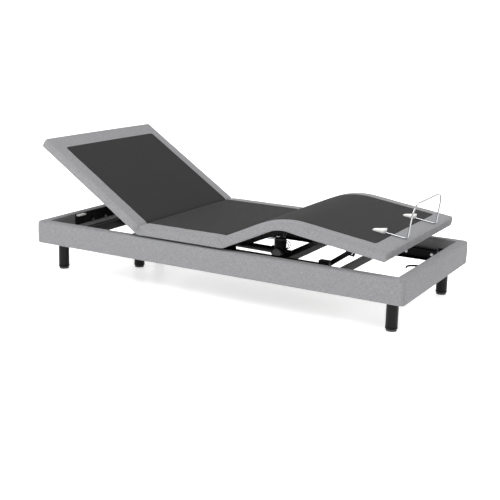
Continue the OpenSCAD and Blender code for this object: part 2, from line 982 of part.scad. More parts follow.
module link_arms() {
  low = link_plate_y;
  high = link_plate_y + 5;
  dx = link_end_x - link_pivot[0];
  dz = link_end_z - link_pivot[1];
  reach = sqrt(dx * dx + dz * dz);
  color([0.09, 0.09, 0.095])
    mirrored_y()
      translate([link_pivot[0], 0, link_pivot[1]])
        rotate([0, -atan2(dz, dx), 0]) {
          difference() {
            union() {
              box([0, low, -11], [reach, high, 11]);
              rod_y(0, 0, 14, low, high);
              rod_y(reach, 0, 11, low, high);
            }
            rod_y(0, 0, pin_radius, low - 1, high + 1);
          }
          rod_y(reach, 0, pin_radius - 1, leaf_y, low);
        }
}

module link_shaft() {
  color([0.62, 0.63, 0.65])
    rod_y(link_pivot[0], link_pivot[1], pin_radius, -carriage_y - 18, carriage_y + 18);
}

// ---------- actuators ----------

// Local frame: the rear pivot is at the origin and the rod runs along +X
module drive_body(length) {
  difference() {
    union() {
      rod_y(0, 0, 10, -10, 10);
      box([0, -9, -9], [40, 9, 9]);
      translate([34, 0, 0])
        rotate([0, 90, 0])
          cylinder(r = 21, h = 70);
      children();
      translate([104, 0, 0])
        rotate([0, 90, 0])
          cylinder(r = 16, h = length - 104);
      translate([length, 0, 0])
        rotate([0, 90, 0])
          cylinder(r = 18, h = 16);
    }
    rod_y(0, 0, drive_pin_radius + running_gap, -20, 20);
    translate([130, 0, 0])
      rotate([0, 90, 0])
        cylinder(r = 11 + running_gap, h = length);
  }
}

// The rod ends in an eye with a wide hole that gives the lever pin lost motion; play is the
// offset of the hole's centre from where the pin stands in the pose
module drive_rod(low, high, play, hole_radius) {
  wall = 6;
  difference() {
    union() {
      translate([low, 0, 0])
        rotate([0, 90, 0])
          cylinder(r = 11, h = high - hole_radius - 16 - low);
      box([high - hole_radius - 18, -eye_width / 2, -12], [high + play[0], eye_width / 2, 12]);
      rod_y(high + play[0], play[1], hole_radius + wall, -eye_width / 2, eye_width / 2);
    }
    rod_y(high + play[0], play[1], hole_radius, -20, 20);
  }
}

// Where each lever pin stands in the pose, from the pivot of its actuator
head_reach_x = head_x + head_pin[0] * cos(head_angle) + head_pin[1] * sin(head_angle) - head_drive[0];
head_reach_z = hinge_z - head_pin[0] * sin(head_angle) + head_pin[1] * cos(head_angle) - head_drive[1];
foot_reach_x = thigh_x + foot_pin[0] * cos(thigh_angle) - foot_pin[1] * sin(thigh_angle) - foot_drive[0];
foot_reach_z = hinge_z + foot_pin[0] * sin(thigh_angle) + foot_pin[1] * cos(thigh_angle) - foot_drive[1];
head_reach = sqrt(head_reach_x * head_reach_x + head_reach_z * head_reach_z);
foot_reach = sqrt(foot_reach_x * foot_reach_x + foot_reach_z * foot_reach_z);

module head_drive_pose() {
  translate([head_drive[0], head_drive_y, head_drive[1]])
    rotate([0, -atan2(head_reach_z, head_reach_x), 0])
      children();
}

module foot_drive_pose() {
  translate([foot_drive[0], foot_drive_y, foot_drive[1]])
    rotate([0, -atan2(foot_reach_z, foot_reach_x), 0])
      children();
}

// The head actuator carries an upright motor; its gear case is a drum across the rod.
// Its frame is turned over, so that up is -Z here.
module head_actuator() {
  color([0.14, 0.14, 0.145])
    head_drive_pose()
      drive_body(head_reach - 150)
        union() {
          rod_y(motor_back, 8, motor_radius, -32, 24);
          translate([motor_back, 0, -motor_top])
            cylinder(r = motor_radius, h = motor_top + 8);
        }
}

// The motor's cap and the round cover of the gear case
module head_motor() {
  color([0.42, 0.43, 0.44])
    head_drive_pose() {
      translate([motor_back, 0, -motor_top - 8])
        cylinder(r = motor_radius - 3, h = 8);
      rod_y(motor_back, 8, motor_radius - 6, -38, -32);
    }
}

// Two leads leave the motor near its cap and go back in above the gear case
module motor_leads() {
  color([0.05, 0.05, 0.052])
    head_drive_pose()
      for (side = [-1, 1])
        translate([motor_back - motor_radius + 0.2, side * 6, -33])
          rotate([90, 0, 0])
            rotate([0, 0, 90])
              rotate_extrude(angle = 180)
                translate([18 + 2 * side, 0])
                  circle(r = 2);
}

module head_rod() {
  color([0.62, 0.63, 0.65])
    head_drive_pose()
      drive_rod(head_reach - 330, head_reach, [-2.7, -3.7], 10.5);
}

// The foot actuator has its motor beside the tube, ahead of the gear case
module foot_actuator() {
  color([0.14, 0.14, 0.145])
    foot_drive_pose()
      drive_body(foot_reach - 130)
        box([44, 0, -17], [98, 44, 17]);
}

module foot_motor() {
  color([0.42, 0.43, 0.44])
    foot_drive_pose() {
      translate([98, 42, 0])
        rotate([0, 90, 0])
          cylinder(r = 17, h = 96);
      translate([194, 42, 0])
        rotate([0, 90, 0])
          cylinder(r = 14, h = 10);
    }
}

module foot_rod() {
  color([0.62, 0.63, 0.65])
    foot_drive_pose()
      drive_rod(foot_reach - 300, foot_reach, [-1.1, 1.6], 8.5);
}

rail_upholstery();
side_rail_cores();
end_rail_cores();
side_channels();
base_tubes();
corner_brackets();
frame_bolts();
corner_legs();
middle_legs();
leg_glides();
leg_studs();
head_end_plate();
edge_clip();
power_supply();
mains_inlet();
cable_hook();
carriage_side_tubes();
carriage_cross_tubes();
carriage_end_blocks();
glide_brackets();
glide_blocks();
seat_spacers();
seat_board();
seat_pad();
seat_cloth();
carriage_leaves();
carriage_pins();
drive_brackets();
control_box();
head_board();
head_pad();
head_cloth();
head_subframe();
head_leaves();
head_lever();
thigh_board();
thigh_pad();
thigh_cloth();
thigh_subframe();
thigh_leaves();
thigh_lever();
knee_pins();
calf_board();
calf_pad();
calf_cloth();
calf_subframe();
calf_leaves();
link_brackets();
retainer_bar();
retainer_clips();
link_arms();
link_shaft();
head_actuator();
head_motor();
motor_leads();
head_rod();
foot_actuator();
foot_motor();
foot_rod();
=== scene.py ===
"""Adjustable bed base: upholstery, cloth, legs, steelwork, drives, stage and camera."""

import json
import math

import bpy
import numpy as np
from bpy.props import FloatProperty, FloatVectorProperty, PointerProperty
from bpy.types import Operator, Panel, PropertyGroup
from mathutils import Euler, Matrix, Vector


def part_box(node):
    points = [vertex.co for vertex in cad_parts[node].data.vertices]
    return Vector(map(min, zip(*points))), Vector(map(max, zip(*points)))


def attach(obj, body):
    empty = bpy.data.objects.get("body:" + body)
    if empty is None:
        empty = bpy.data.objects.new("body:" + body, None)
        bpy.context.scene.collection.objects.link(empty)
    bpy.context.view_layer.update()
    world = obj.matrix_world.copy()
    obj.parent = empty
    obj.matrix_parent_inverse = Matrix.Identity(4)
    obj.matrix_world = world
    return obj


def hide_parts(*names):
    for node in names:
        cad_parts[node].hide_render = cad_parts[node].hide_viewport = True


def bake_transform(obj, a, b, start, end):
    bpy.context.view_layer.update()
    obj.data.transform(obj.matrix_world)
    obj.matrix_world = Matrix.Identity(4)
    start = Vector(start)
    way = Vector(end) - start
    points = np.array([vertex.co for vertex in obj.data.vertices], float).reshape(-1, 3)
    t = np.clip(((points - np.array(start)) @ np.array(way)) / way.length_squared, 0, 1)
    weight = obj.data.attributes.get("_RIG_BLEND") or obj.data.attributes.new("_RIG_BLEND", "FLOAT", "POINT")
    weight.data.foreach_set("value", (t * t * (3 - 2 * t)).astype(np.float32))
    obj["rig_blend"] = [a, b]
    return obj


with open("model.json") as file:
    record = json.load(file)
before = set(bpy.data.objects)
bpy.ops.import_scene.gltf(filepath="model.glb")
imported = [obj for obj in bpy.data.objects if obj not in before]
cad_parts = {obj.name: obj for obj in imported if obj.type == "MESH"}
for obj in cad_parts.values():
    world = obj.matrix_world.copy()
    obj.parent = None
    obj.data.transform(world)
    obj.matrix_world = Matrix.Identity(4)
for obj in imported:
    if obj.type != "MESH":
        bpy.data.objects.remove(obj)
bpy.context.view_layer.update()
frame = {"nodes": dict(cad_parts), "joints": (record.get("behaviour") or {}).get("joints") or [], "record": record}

bl_info = {
    "name": "Adjustable bed base",
    "version": (1, 0, 0),
    "blender": (4, 5, 0),
    "location": "3D View > Sidebar > Bed Base",
    "description": "Builds the cloth, upholstery, steelwork and stage of an adjustable bed base",
    "category": "Object",
}

JOINTS = {joint["name"]: joint for joint in frame["joints"]}


# ---------- measures taken from the frame ----------


def node_points(node):
    """The vertices of a CAD node as an array, in metres."""
    mesh = frame["nodes"][node].data
    points = np.empty(len(mesh.vertices) * 3)
    mesh.vertices.foreach_get("co", points)
    return points.reshape(-1, 3)


def turned(points, pivot, angle):
    """Points turned about a Y axis through the pivot: x' = x cos + z sin, z' = z cos - x sin, from the pivot."""
    x = points[:, 0] - pivot[0]
    z = points[:, 2] - pivot[2]
    cosine = np.cos(angle)
    sine = np.sin(angle)
    out = points.copy()
    out[:, 0] = pivot[0] + x * cosine + z * sine
    out[:, 2] = pivot[2] + z * cosine - x * sine
    return out


HEAD_PIVOT = np.array(JOINTS["head_tilt"]["pos_m"], float)
THIGH_PIVOT = np.array(JOINTS["thigh_tilt"]["pos_m"], float)
KNEE_POSED = np.array(JOINTS["knee_bend"]["pos_m"], float)
HEAD_RISE = -math.radians(JOINTS["head_tilt"]["range_deg"][0])
THIGH_RISE = -math.radians(JOINTS["thigh_tilt"]["range_deg"][0])
KNEE_RATIO = next(c["ratio"] for c in frame["record"]["behaviour"]["couplings"] if c["joint"] == "knee_bend")
KNEE_FOLD = THIGH_RISE * KNEE_RATIO
KNEE_PIVOT = turned(KNEE_POSED[None], THIGH_PIVOT, THIGH_RISE)[0]


def flat_points(node, panel):
    """A panel's node laid flat again, level with the seat."""
    points = node_points(node)
    if panel == "head":
        return turned(points, HEAD_PIVOT, -HEAD_RISE)
    if panel == "calf":
        points = turned(points, KNEE_POSED, -KNEE_FOLD)
    return turned(points, THIGH_PIVOT, THIGH_RISE)


HEAD_FLAT = flat_points("head_pad", "head")
CALF_FLAT = flat_points("calf_pad", "calf")
HEAD_CLOTH_FLAT = flat_points("head_cloth", "head")
CALF_CLOTH_FLAT = flat_points("calf_cloth", "calf")
DECK_HALF = float(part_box("seat_pad")[1].y)
DECK_TOP = float(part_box("seat_cloth")[1].z)
DECK_BOTTOM = float(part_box("seat_pad")[0].z)
# The padding ends this far below the top of the dark cloth
PADDING_TOP = DECK_TOP - 0.0012
CLOTH_HALF = float(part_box("seat_cloth")[1].y)
HEAD_END = float(HEAD_FLAT[:, 0].min())
CALF_END = float(CALF_FLAT[:, 0].max())
CLOTH_HEAD_END = float(HEAD_CLOTH_FLAT[:, 0].min())
CLOTH_FOOT_END = float(CALF_CLOTH_FLAT[:, 0].max())
SEAT_MIDDLE = float(HEAD_PIVOT[0] + THIGH_PIVOT[0]) / 2
THIGH_MIDDLE = float(THIGH_PIVOT[0] + KNEE_PIVOT[0]) / 2 - 0.02


# ---------- settings ----------


class BedClothSettings(PropertyGroup):
    """Sizes and colours of the cloth and the padding."""

    pale: FloatVectorProperty(
        name="Pale cloth",
        description="Colour of the pale woven cloth",
        subtype="COLOR",
        default=(0.282, 0.282, 0.291),
    )
    dark: FloatVectorProperty(
        name="Dark cloth",
        description="Colour of the dark centre cloth",
        subtype="COLOR",
        default=(0.026, 0.0255, 0.026),
    )
    thread: FloatProperty(
        name="Thread pitch",
        description="Distance between neighbouring threads",
        unit="LENGTH",
        default=0.0017,
    )
    crown: FloatProperty(
        name="Crown",
        description="How far the middle of a panel stands above its edge",
        unit="LENGTH",
        default=0.0015,
    )
    edge_radius: FloatProperty(
        name="Panel edge radius",
        description="Radius of the padded edge of a panel",
        unit="LENGTH",
        default=0.010,
    )
    rail_radius: FloatProperty(
        name="Rail edge radius",
        description="Radius of the padded edge of a rail",
        unit="LENGTH",
        default=0.012,
    )
    frame_corner: FloatProperty(
        name="Frame corner",
        description="Radius of the frame's corners seen from above",
        unit="LENGTH",
        default=0.020,
    )
    field_corner: FloatProperty(
        name="Dark cloth corner",
        description="Radius of the dark cloth's corners",
        unit="LENGTH",
        default=0.016,
    )
    fold_depth: FloatProperty(
        name="Gather depth",
        description="Depth of the gathers beside the head fold",
        unit="LENGTH",
        default=0.0035,
    )


class BedMetalSettings(PropertyGroup):
    """Sizes and colours of the metal and plastic parts."""

    steel: FloatVectorProperty(
        name="Steel paint",
        description="Colour of the black powder coat",
        subtype="COLOR",
        default=(0.0035, 0.0035, 0.0038),
    )
    lacquer: FloatVectorProperty(
        name="Leg lacquer",
        description="Colour of the gloss lacquer on the legs",
        subtype="COLOR",
        default=(0.0012, 0.0012, 0.0014),
    )
    bar_radius: FloatProperty(
        name="Bar radius", description="Radius of the chrome bar", unit="LENGTH", default=0.0036
    )


class BedStageSettings(PropertyGroup):
    """Light, floor and camera."""

    floor: FloatVectorProperty(
        name="Floor",
        description="Colour of the floor and the backdrop",
        subtype="COLOR",
        default=(0.93, 0.93, 0.93),
    )
    key_power: FloatProperty(
        name="Key light", description="Power of the large light over the bed", unit="POWER", default=170.0
    )
    glow: FloatProperty(
        name="Floor glow",
        description="Light given off by the floor itself, as on a lit studio table",
        default=0.64,
    )
    lens: FloatProperty(
        name="Lens", description="Focal length of the camera in millimetres", default=69.55
    )


# ---------- surfaces ----------


def make_object(name, points, faces, uv=None, smooth=True, slots=None):
    """An object at the origin from vertex and face arrays; uv is one pair per vertex."""
    mesh = bpy.data.meshes.new(name)
    mesh.from_pydata(np.asarray(points, float).tolist(), [], faces)
    mesh.update()
    if uv is not None:
        loops = np.empty(len(mesh.loops), np.int64)
        mesh.loops.foreach_get("vertex_index", loops)
        layer = mesh.uv_layers.new(name="UVMap")
        layer.data.foreach_set("uv", np.asarray(uv, np.float32)[loops].ravel())
    mesh.polygons.foreach_set("use_smooth", np.full(len(mesh.polygons), smooth))
    if slots is not None:
        mesh.polygons.foreach_set("material_index", np.asarray(slots, np.int32))
    piece = bpy.data.objects.new(name, mesh)
    bpy.context.scene.collection.objects.link(piece)
    return piece


def grid_faces(rows, columns, wrap=False, start=0):
    """Quads of a grid of vertices numbered row by row; wrap joins the last column to the first."""
    last = columns if wrap else columns - 1
    row, column = np.meshgrid(np.arange(rows - 1), np.arange(last), indexing="ij")
    after = (column + 1) % columns
    here = row * columns
    beyond = here + columns
    quads = np.stack([here + column, here + after, beyond + after, beyond + column], -1)
    return (quads.reshape(-1, 4) + start).tolist()


def closed_tube(rings):
    """Faces of a stack of closed rings, with a flat polygon at each end; rings is (rows, columns, 3)."""
    rows, columns = rings.shape[:2]
    faces = grid_faces(rows, columns, wrap=True)
    first = np.arange(columns)[::-1].tolist()
    last = (np.arange(columns) + (rows - 1) * columns).tolist()
    return faces + [first, last]


def face_outward(piece):
    """Turns the faces of a closed piece outward when its signed volume is negative."""
    mesh = piece.data
    mesh.calc_loop_triangles()
    triangles = np.empty(len(mesh.loop_triangles) * 3, np.int64)
    mesh.loop_triangles.foreach_get("vertices", triangles)
    points = np.empty(len(mesh.vertices) * 3)
    mesh.vertices.foreach_get("co", points)
    a, b, c = np.moveaxis(points.reshape(-1, 3)[triangles.reshape(-1, 3)], 1, 0)
    if np.einsum("ij,ij->i", a, np.cross(b, c)).sum() < 0:
        mesh.flip_normals()
    return piece


def smooth_path(points, count):
    """A Catmull-Rom curve through the points, sampled evenly along its length."""
    points = np.asarray(points, float)
    padded = np.vstack([2 * points[0] - points[1], points, 2 * points[-1] - points[-2]])
    spans = len(points) - 1
    t = np.linspace(0, spans, spans * 24 + 1)
    index = np.minimum(t.astype(int), spans - 1)
    f = (t - index)[:, None]
    a, b, c, d = (padded[index + k] for k in range(4))
    curve = 0.5 * (2 * b + (c - a) * f + (2 * a - 5 * b + 4 * c - d) * f**2 + (3 * b - a - 3 * c + d) * f**3)
    along = np.concatenate([[0], np.cumsum(np.linalg.norm(np.diff(curve, axis=0), axis=1))])
    even = np.linspace(0, along[-1], count)
    return np.stack([np.interp(even, along, curve[:, k]) for k in range(3)], 1)


def tube_along(name, path, radius, sides=16, ends=4):
    """A round tube along a path, closed by domes.

    Each ring is path + radius (cos a, sin a) in the plane across the path.
    """
    tangent = np.gradient(path, axis=0)
    tangent /= np.linalg.norm(tangent, axis=1)[:, None]
    reference = np.array([0.0, 0.0, 1.0]) if abs(tangent[0, 2]) < 0.9 else np.array([0.0, 1.0, 0.0])
    across = []
    for direction in tangent:
        reference = reference - direction * (reference @ direction)
        reference /= np.linalg.norm(reference)
        across.append(reference)
    across = np.array(across)
    other = np.cross(tangent, across)
    angle = np.linspace(0, 2 * math.pi, sides, endpoint=False)
    circle = np.stack([np.cos(angle), np.sin(angle)], 1)
    dome = np.linspace(0, math.pi / 2, ends + 1)[:-1]
    scale = np.concatenate([np.sin(dome) + 0.02, np.ones(len(path) - 2), (np.sin(dome) + 0.02)[::-1]])
    centres = np.vstack(
        [
            path[0] + tangent[0] * radius * (1 - np.cos(dome))[:, None],
            path[1:-1],
            path[-1] - tangent[-1] * radius * (1 - np.cos(dome))[::-1][:, None],
        ]
    )
    first = np.repeat(across[:1], ends, 0)
    last = np.repeat(across[-1:], ends, 0)
    u = np.vstack([first, across[1:-1], last])
    v = np.vstack([np.repeat(other[:1], ends, 0), other[1:-1], np.repeat(other[-1:], ends, 0)])
    rings = (
        centres[:, None, :]
        + u[:, None, :] * (circle[None, :, 0] * scale[:, None] * radius)[..., None]
        + v[:, None, :] * (circle[None, :, 1] * scale[:, None] * radius)[..., None]
    )
    piece = make_object(name, rings.reshape(-1, 3), closed_tube(rings))
    return face_outward(piece)


def lathe(name, profile, centre, sides=48):
    """A surface of revolution: each profile point (radius, height) goes round the centre's vertical axis."""
    profile = np.asarray(profile, float)
    angle = np.linspace(0, 2 * math.pi, sides, endpoint=False)
    rings = np.empty((len(profile), sides, 3))
    rings[..., 0] = centre[0] + profile[:, 0, None] * np.cos(angle)
    rings[..., 1] = centre[1] + profile[:, 0, None] * np.sin(angle)
    rings[..., 2] = profile[:, 1, None]
    piece = make_object(name, rings.reshape(-1, 3), closed_tube(rings))
    return face_outward(piece)


def joined(name, pieces):
    """Several mesh pieces as one object."""
    with bpy.context.temp_override(active_object=pieces[0], selected_editable_objects=pieces):
        bpy.ops.object.join()
    pieces[0].name = name
    pieces[0].data.name = name
    return pieces[0]


# ---------- materials ----------


def new_material(name):
    """A node material with its shader, ready for colour and bump."""
    material = bpy.data.materials.new(name)
    material.use_nodes = True
    nodes = material.node_tree.nodes
    return material, nodes, material.node_tree.links, nodes["Principled BSDF"]


def math_node(nodes, links, operation, a, b=None):
    """A Math node; a and b are sockets or numbers."""
    node = nodes.new("ShaderNodeMath")
    node.operation = operation
    for socket, value in zip(node.inputs, (a, b)):
        if value is None:
            continue
        if isinstance(value, bpy.types.NodeSocket):
            links.new(value, socket)
        else:
            socket.default_value = value
    return node.outputs[0]


def mix_colour(nodes, links, factor, a, b):
    """A colour mix; factor, a and b are sockets or values."""
    node = nodes.new("ShaderNodeMix")
    node.data_type = "RGBA"
    for key, value in ((0, factor), (6, a), (7, b)):
        if isinstance(value, bpy.types.NodeSocket):
            links.new(value, node.inputs[key])
        elif key == 0:
            node.inputs[key].default_value = value
        else:
            node.inputs[key].default_value = (*value, 1.0)
    return node.outputs[2]


def noise_node(nodes, links, vector, scale, detail=3.0, roughness=0.5):
    """A noise texture's value."""
    node = nodes.new("ShaderNodeTexNoise")
    node.inputs["Scale"].default_value = scale
    node.inputs["Detail"].default_value = detail
    node.inputs["Roughness"].default_value = roughness
    links.new(vector, node.inputs["Vector"])
    return node.outputs["Fac"]


def mapped(nodes, links, value, source=(0.0, 1.0), target=(0.0, 1.0)):
    """Value carried linearly from the source range to the target range."""
    node = nodes.new("ShaderNodeMapRange")
    node.inputs["From Min"].default_value, node.inputs["From Max"].default_value = source
    node.inputs["To Min"].default_value, node.inputs["To Max"].default_value = target
    links.new(value, node.inputs["Value"])
    return node.outputs[0]


def add_bump(nodes, links, shader, height, strength, distance):
    """A bump from a height socket, on top of any bump that the shader has already."""
    node = nodes.new("ShaderNodeBump")
    node.inputs["Strength"].default_value = strength
    node.inputs["Distance"].default_value = distance
    links.new(height, node.inputs["Height"])
    if shader.inputs["Normal"].links:
        links.new(shader.inputs["Normal"].links[0].from_socket, node.inputs["Normal"])
    links.new(node.outputs[0], shader.inputs["Normal"])


def woven_cloth(name, colour, pitch, fleck, sheen, gap_shade_strength):
    """Plain weave on the UV map, in metres: two sets of rounded threads pass over and under each other.

    Thread height is |sin(pi u / pitch)| where the warp is on top and |sin(pi v / pitch)| where the weft is,
    and the two change places like a chessboard. Fleck is the share of lighter and darker yarn; painted shade
    darkens the low places between the threads.
    """
    material, nodes, links, shader = new_material(name)
    uv = nodes.new("ShaderNodeUVMap")
    uv.uv_map = "UVMap"
    split = nodes.new("ShaderNodeSeparateXYZ")
    links.new(uv.outputs[0], split.inputs[0])
    u = math_node(nodes, links, "MULTIPLY", split.outputs[0], math.pi / pitch)
    v = math_node(nodes, links, "MULTIPLY", split.outputs[1], math.pi / pitch)
    warp = math_node(nodes, links, "SINE", u)
    weft = math_node(nodes, links, "SINE", v)
    board = math_node(nodes, links, "MULTIPLY", warp, weft)
    over = math_node(nodes, links, "GREATER_THAN", board, 0.0)
    warp_height = math_node(nodes, links, "ABSOLUTE", warp)
    weft_height = math_node(nodes, links, "ABSOLUTE", weft)
    warp_part = math_node(nodes, links, "MULTIPLY", warp_height, over)
    under = math_node(nodes, links, "SUBTRACT", 1.0, over)
    weft_part = math_node(nodes, links, "MULTIPLY", weft_height, under)
    height = math_node(nodes, links, "ADD", warp_part, weft_part)

    def streaks(across, along, seed):
        mapping = nodes.new("ShaderNodeMapping")
        mapping.inputs["Scale"].default_value = (across, along, 1.0)
        mapping.inputs["Location"].default_value = (seed, seed * 1.7, 0.0)
        links.new(uv.outputs[0], mapping.inputs["Vector"])
        return noise_node(nodes, links, mapping.outputs[0], 1.0, 2.0)

    yarn_a = streaks(0.9 / pitch, 55.0, 3.1)
    yarn_b = streaks(55.0, 0.9 / pitch, 8.4)
    yarn = math_node(nodes, links, "ADD", yarn_a, yarn_b)
    clouds = noise_node(nodes, links, uv.outputs[0], 9.0, 4.0)
    grain = noise_node(nodes, links, uv.outputs[0], 240.0, 3.0, 0.6)
    light_yarn = mapped(nodes, links, yarn, (0.72, 1.28))
    pale = tuple(min(1.0, c * (1.0 + fleck)) for c in colour)
    deep = tuple(c * (1.0 - fleck) for c in colour)
    base = mix_colour(nodes, links, light_yarn, deep, pale)
    wear = mapped(nodes, links, clouds, (0.3, 0.7), (0.0, 0.35))
    clouded = mix_colour(nodes, links, wear, (0, 0, 0), tuple(c * 1.08 for c in colour))
    links.new(base, clouded.node.inputs[6])
    # Painted shade: the low places between the threads are darkened towards a third of the cloth's colour
    gap_shade = math_node(nodes, links, "MULTIPLY", math_node(nodes, links, "SUBTRACT", 1.0, height), gap_shade_strength)
    shaded = mix_colour(nodes, links, gap_shade, (0, 0, 0), tuple(c * 0.35 for c in colour))
    links.new(clouded, shaded.node.inputs[6])
    fine = math_node(nodes, links, "MULTIPLY", math_node(nodes, links, "SUBTRACT", grain, 0.5), 2 * fleck)
    fine = math_node(nodes, links, "ABSOLUTE", fine)
    flecked = mix_colour(nodes, links, fine, (0, 0, 0), tuple(min(1.0, c * 1.5) for c in colour))
    links.new(shaded, flecked.node.inputs[6])
    links.new(flecked, shader.inputs["Base Color"])
    shader.inputs["Roughness"].default_value = 0.88
    shader.inputs["Specular IOR Level"].default_value = 0.15
    shader.inputs["Sheen Weight"].default_value = sheen
    shader.inputs["Sheen Roughness"].default_value = 0.45
    add_bump(nodes, links, shader, height, 0.5, pitch * 0.35)
    add_bump(nodes, links, shader, clouds, 0.25, 0.004)
    return material


def powder_coat(name, colour, roughness=0.42):
    """Painted steel: fine orange peel, slightly uneven gloss and paler scuffs in random patches."""
    material, nodes, links, shader = new_material(name)
    place = nodes.new("ShaderNodeTexCoord").outputs["Object"]
    peel = noise_node(nodes, links, place, 900.0, 2.0)
    cloud = noise_node(nodes, links, place, 14.0, 4.0)
    scuffed = mapped(nodes, links, cloud, (0.60, 0.78))
    scuff = tuple(c * 2.6 + 0.004 for c in colour)
    links.new(mix_colour(nodes, links, scuffed, colour, scuff), shader.inputs["Base Color"])
    rough = mapped(nodes, links, cloud, target=(roughness - 0.08, roughness + 0.12))
    links.new(rough, shader.inputs["Roughness"])
    shader.inputs["Specular IOR Level"].default_value = 0.12
    add_bump(nodes, links, shader, peel, 0.25, 0.0004)
    return material


def gloss_lacquer(name, colour):
    """Deep gloss paint with a clear coat and a faint ripple."""
    material, nodes, links, shader = new_material(name)
    place = nodes.new("ShaderNodeTexCoord").outputs["Object"]
    ripple = noise_node(nodes, links, place, 60.0, 2.0)
    dust = noise_node(nodes, links, place, 420.0, 3.0)
    pale = tuple(c * 1.5 for c in colour)
    links.new(mix_colour(nodes, links, dust, colour, pale), shader.inputs["Base Color"])
    links.new(mapped(nodes, links, dust, target=(0.10, 0.20)), shader.inputs["Roughness"])
    shader.inputs["Specular IOR Level"].default_value = 0.15
    shader.inputs["Coat Weight"].default_value = 0.08
    shader.inputs["Coat Roughness"].default_value = 0.06
    add_bump(nodes, links, shader, ripple, 0.08, 0.0008)
    return material


def bare_metal(name, colour, roughness, brushed):
    """Plated metal; brushed stretches the fine scratches along one axis."""
    material, nodes, links, shader = new_material(name)
    coords = nodes.new("ShaderNodeTexCoord")
    mapping = nodes.new("ShaderNodeMapping")
    mapping.inputs["Scale"].default_value = (brushed, 1.0, 1.0)
    links.new(coords.outputs["Object"], mapping.inputs["Vector"])
    scratch = noise_node(nodes, links, mapping.outputs[0], 300.0, 3.0)
    cloud = noise_node(nodes, links, coords.outputs["Object"], 20.0, 3.0)
    links.new(
        mix_colour(nodes, links, cloud, tuple(c * 0.86 for c in colour), colour), shader.inputs["Base Color"]
    )
    rough = mapped(nodes, links, scratch, target=(roughness * 0.7, roughness * 1.4))
    links.new(rough, shader.inputs["Roughness"])
    shader.inputs["Metallic"].default_value = 1.0
    add_bump(nodes, links, shader, scratch, 0.06, 0.0003)
    return material


def moulded_plastic(name, colour, roughness, grain_scale=700.0):
    """Moulded plastic: fine spark-eroded grain and a slightly cloudy colour."""
    material, nodes, links, shader = new_material(name)
    place = nodes.new("ShaderNodeTexCoord").outputs["Object"]
    grain = noise_node(nodes, links, place, grain_scale, 2.0)
    cloud = noise_node(nodes, links, place, 30.0, 3.0)
    deep = tuple(c * 0.9 for c in colour)
    pale = tuple(min(1, c * 1.08) for c in colour)
    links.new(mix_colour(nodes, links, cloud, deep, pale), shader.inputs["Base Color"])
    rough = mapped(nodes, links, cloud, target=(roughness - 0.06, roughness + 0.08))
    links.new(rough, shader.inputs["Roughness"])
    shader.inputs["Specular IOR Level"].default_value = 0.2
    add_bump(nodes, links, shader, grain, 0.3, 0.0003)
    return material


def layered_board(name):
    """Plywood: thin plies by height, with long grain along X."""
    material, nodes, links, shader = new_material(name)
    coords = nodes.new("ShaderNodeTexCoord").outputs["Object"]
    mapping = nodes.new("ShaderNodeMapping")
    mapping.inputs["Scale"].default_value = (3.0, 40.0, 420.0)
    links.new(coords, mapping.inputs["Vector"])
    grain = noise_node(nodes, links, mapping.outputs[0], 1.0, 5.0, 0.6)
    links.new(
        mix_colour(nodes, links, grain, (0.30, 0.19, 0.10), (0.62, 0.46, 0.28)), shader.inputs["Base Color"]
    )
    shader.inputs["Roughness"].default_value = 0.7
    add_bump(nodes, links, shader, grain, 0.2, 0.0006)
    return material


MATERIALS = {}


def make_materials():
    """Every finish of the bed base, by name."""
    cloth = bpy.context.scene.bed_cloth
    metal = bpy.context.scene.bed_metal
    MATERIALS["pale"] = woven_cloth("PaleWovenCloth", tuple(cloth.pale), cloth.thread, 0.32, 0.12, 0.7)
    MATERIALS["dark"] = woven_cloth("DarkWovenCloth", tuple(cloth.dark), cloth.thread * 0.8, 0.25, 0.04, 0.4)
    dust = (0.012, 0.012, 0.013)
    MATERIALS["dust"] = woven_cloth("BlackDustCloth", dust, cloth.thread * 0.7, 0.2, 0.02, 0.3)
    MATERIALS["steel"] = powder_coat("BlackPowderCoat", tuple(metal.steel))
    MATERIALS["lacquer"] = gloss_lacquer("BlackLegLacquer", tuple(metal.lacquer))
    MATERIALS["zinc"] = bare_metal("ZincPlate", (0.56, 0.57, 0.59), 0.32, 0.2)
    MATERIALS["chrome"] = bare_metal("ChromeBar", (0.50, 0.51, 0.53), 0.12, 1.0)
    MATERIALS["pale_plastic"] = moulded_plastic("PalePlastic", (0.78, 0.78, 0.76), 0.38)
    MATERIALS["black_plastic"] = moulded_plastic("BlackPlastic", (0.004, 0.004, 0.0044), 0.45)
    MATERIALS["grey_plastic"] = moulded_plastic("GreyPlastic", (0.09, 0.092, 0.095), 0.5)
    MATERIALS["board"] = layered_board("PanelBoard")


CAD_FINISH = {
    "steel": [
        "side_channels", "base_tubes", "corner_brackets", "head_end_plate", "carriage_side_tubes",
        "carriage_cross_tubes", "glide_brackets", "carriage_leaves", "drive_brackets", "head_subframe",
        "head_leaves", "head_lever", "thigh_subframe", "thigh_leaves", "thigh_lever", "calf_subframe",
        "calf_leaves", "link_brackets", "link_arms",
    ],
    "zinc": ["frame_bolts", "leg_studs", "carriage_pins", "knee_pins", "link_shaft", "head_rod", "foot_rod"],
    "pale_plastic": ["edge_clip", "glide_blocks"],
    "black_plastic": [
        "power_supply", "mains_inlet", "carriage_end_blocks", "seat_spacers", "control_box",
        "head_actuator", "foot_actuator", "motor_leads",
    ],
    "grey_plastic": ["leg_glides", "head_motor", "foot_motor"],
    "board": ["side_rail_cores", "end_rail_cores", "seat_board", "head_board", "thigh_board", "calf_board"],
}


# ---------- the padded deck ----------


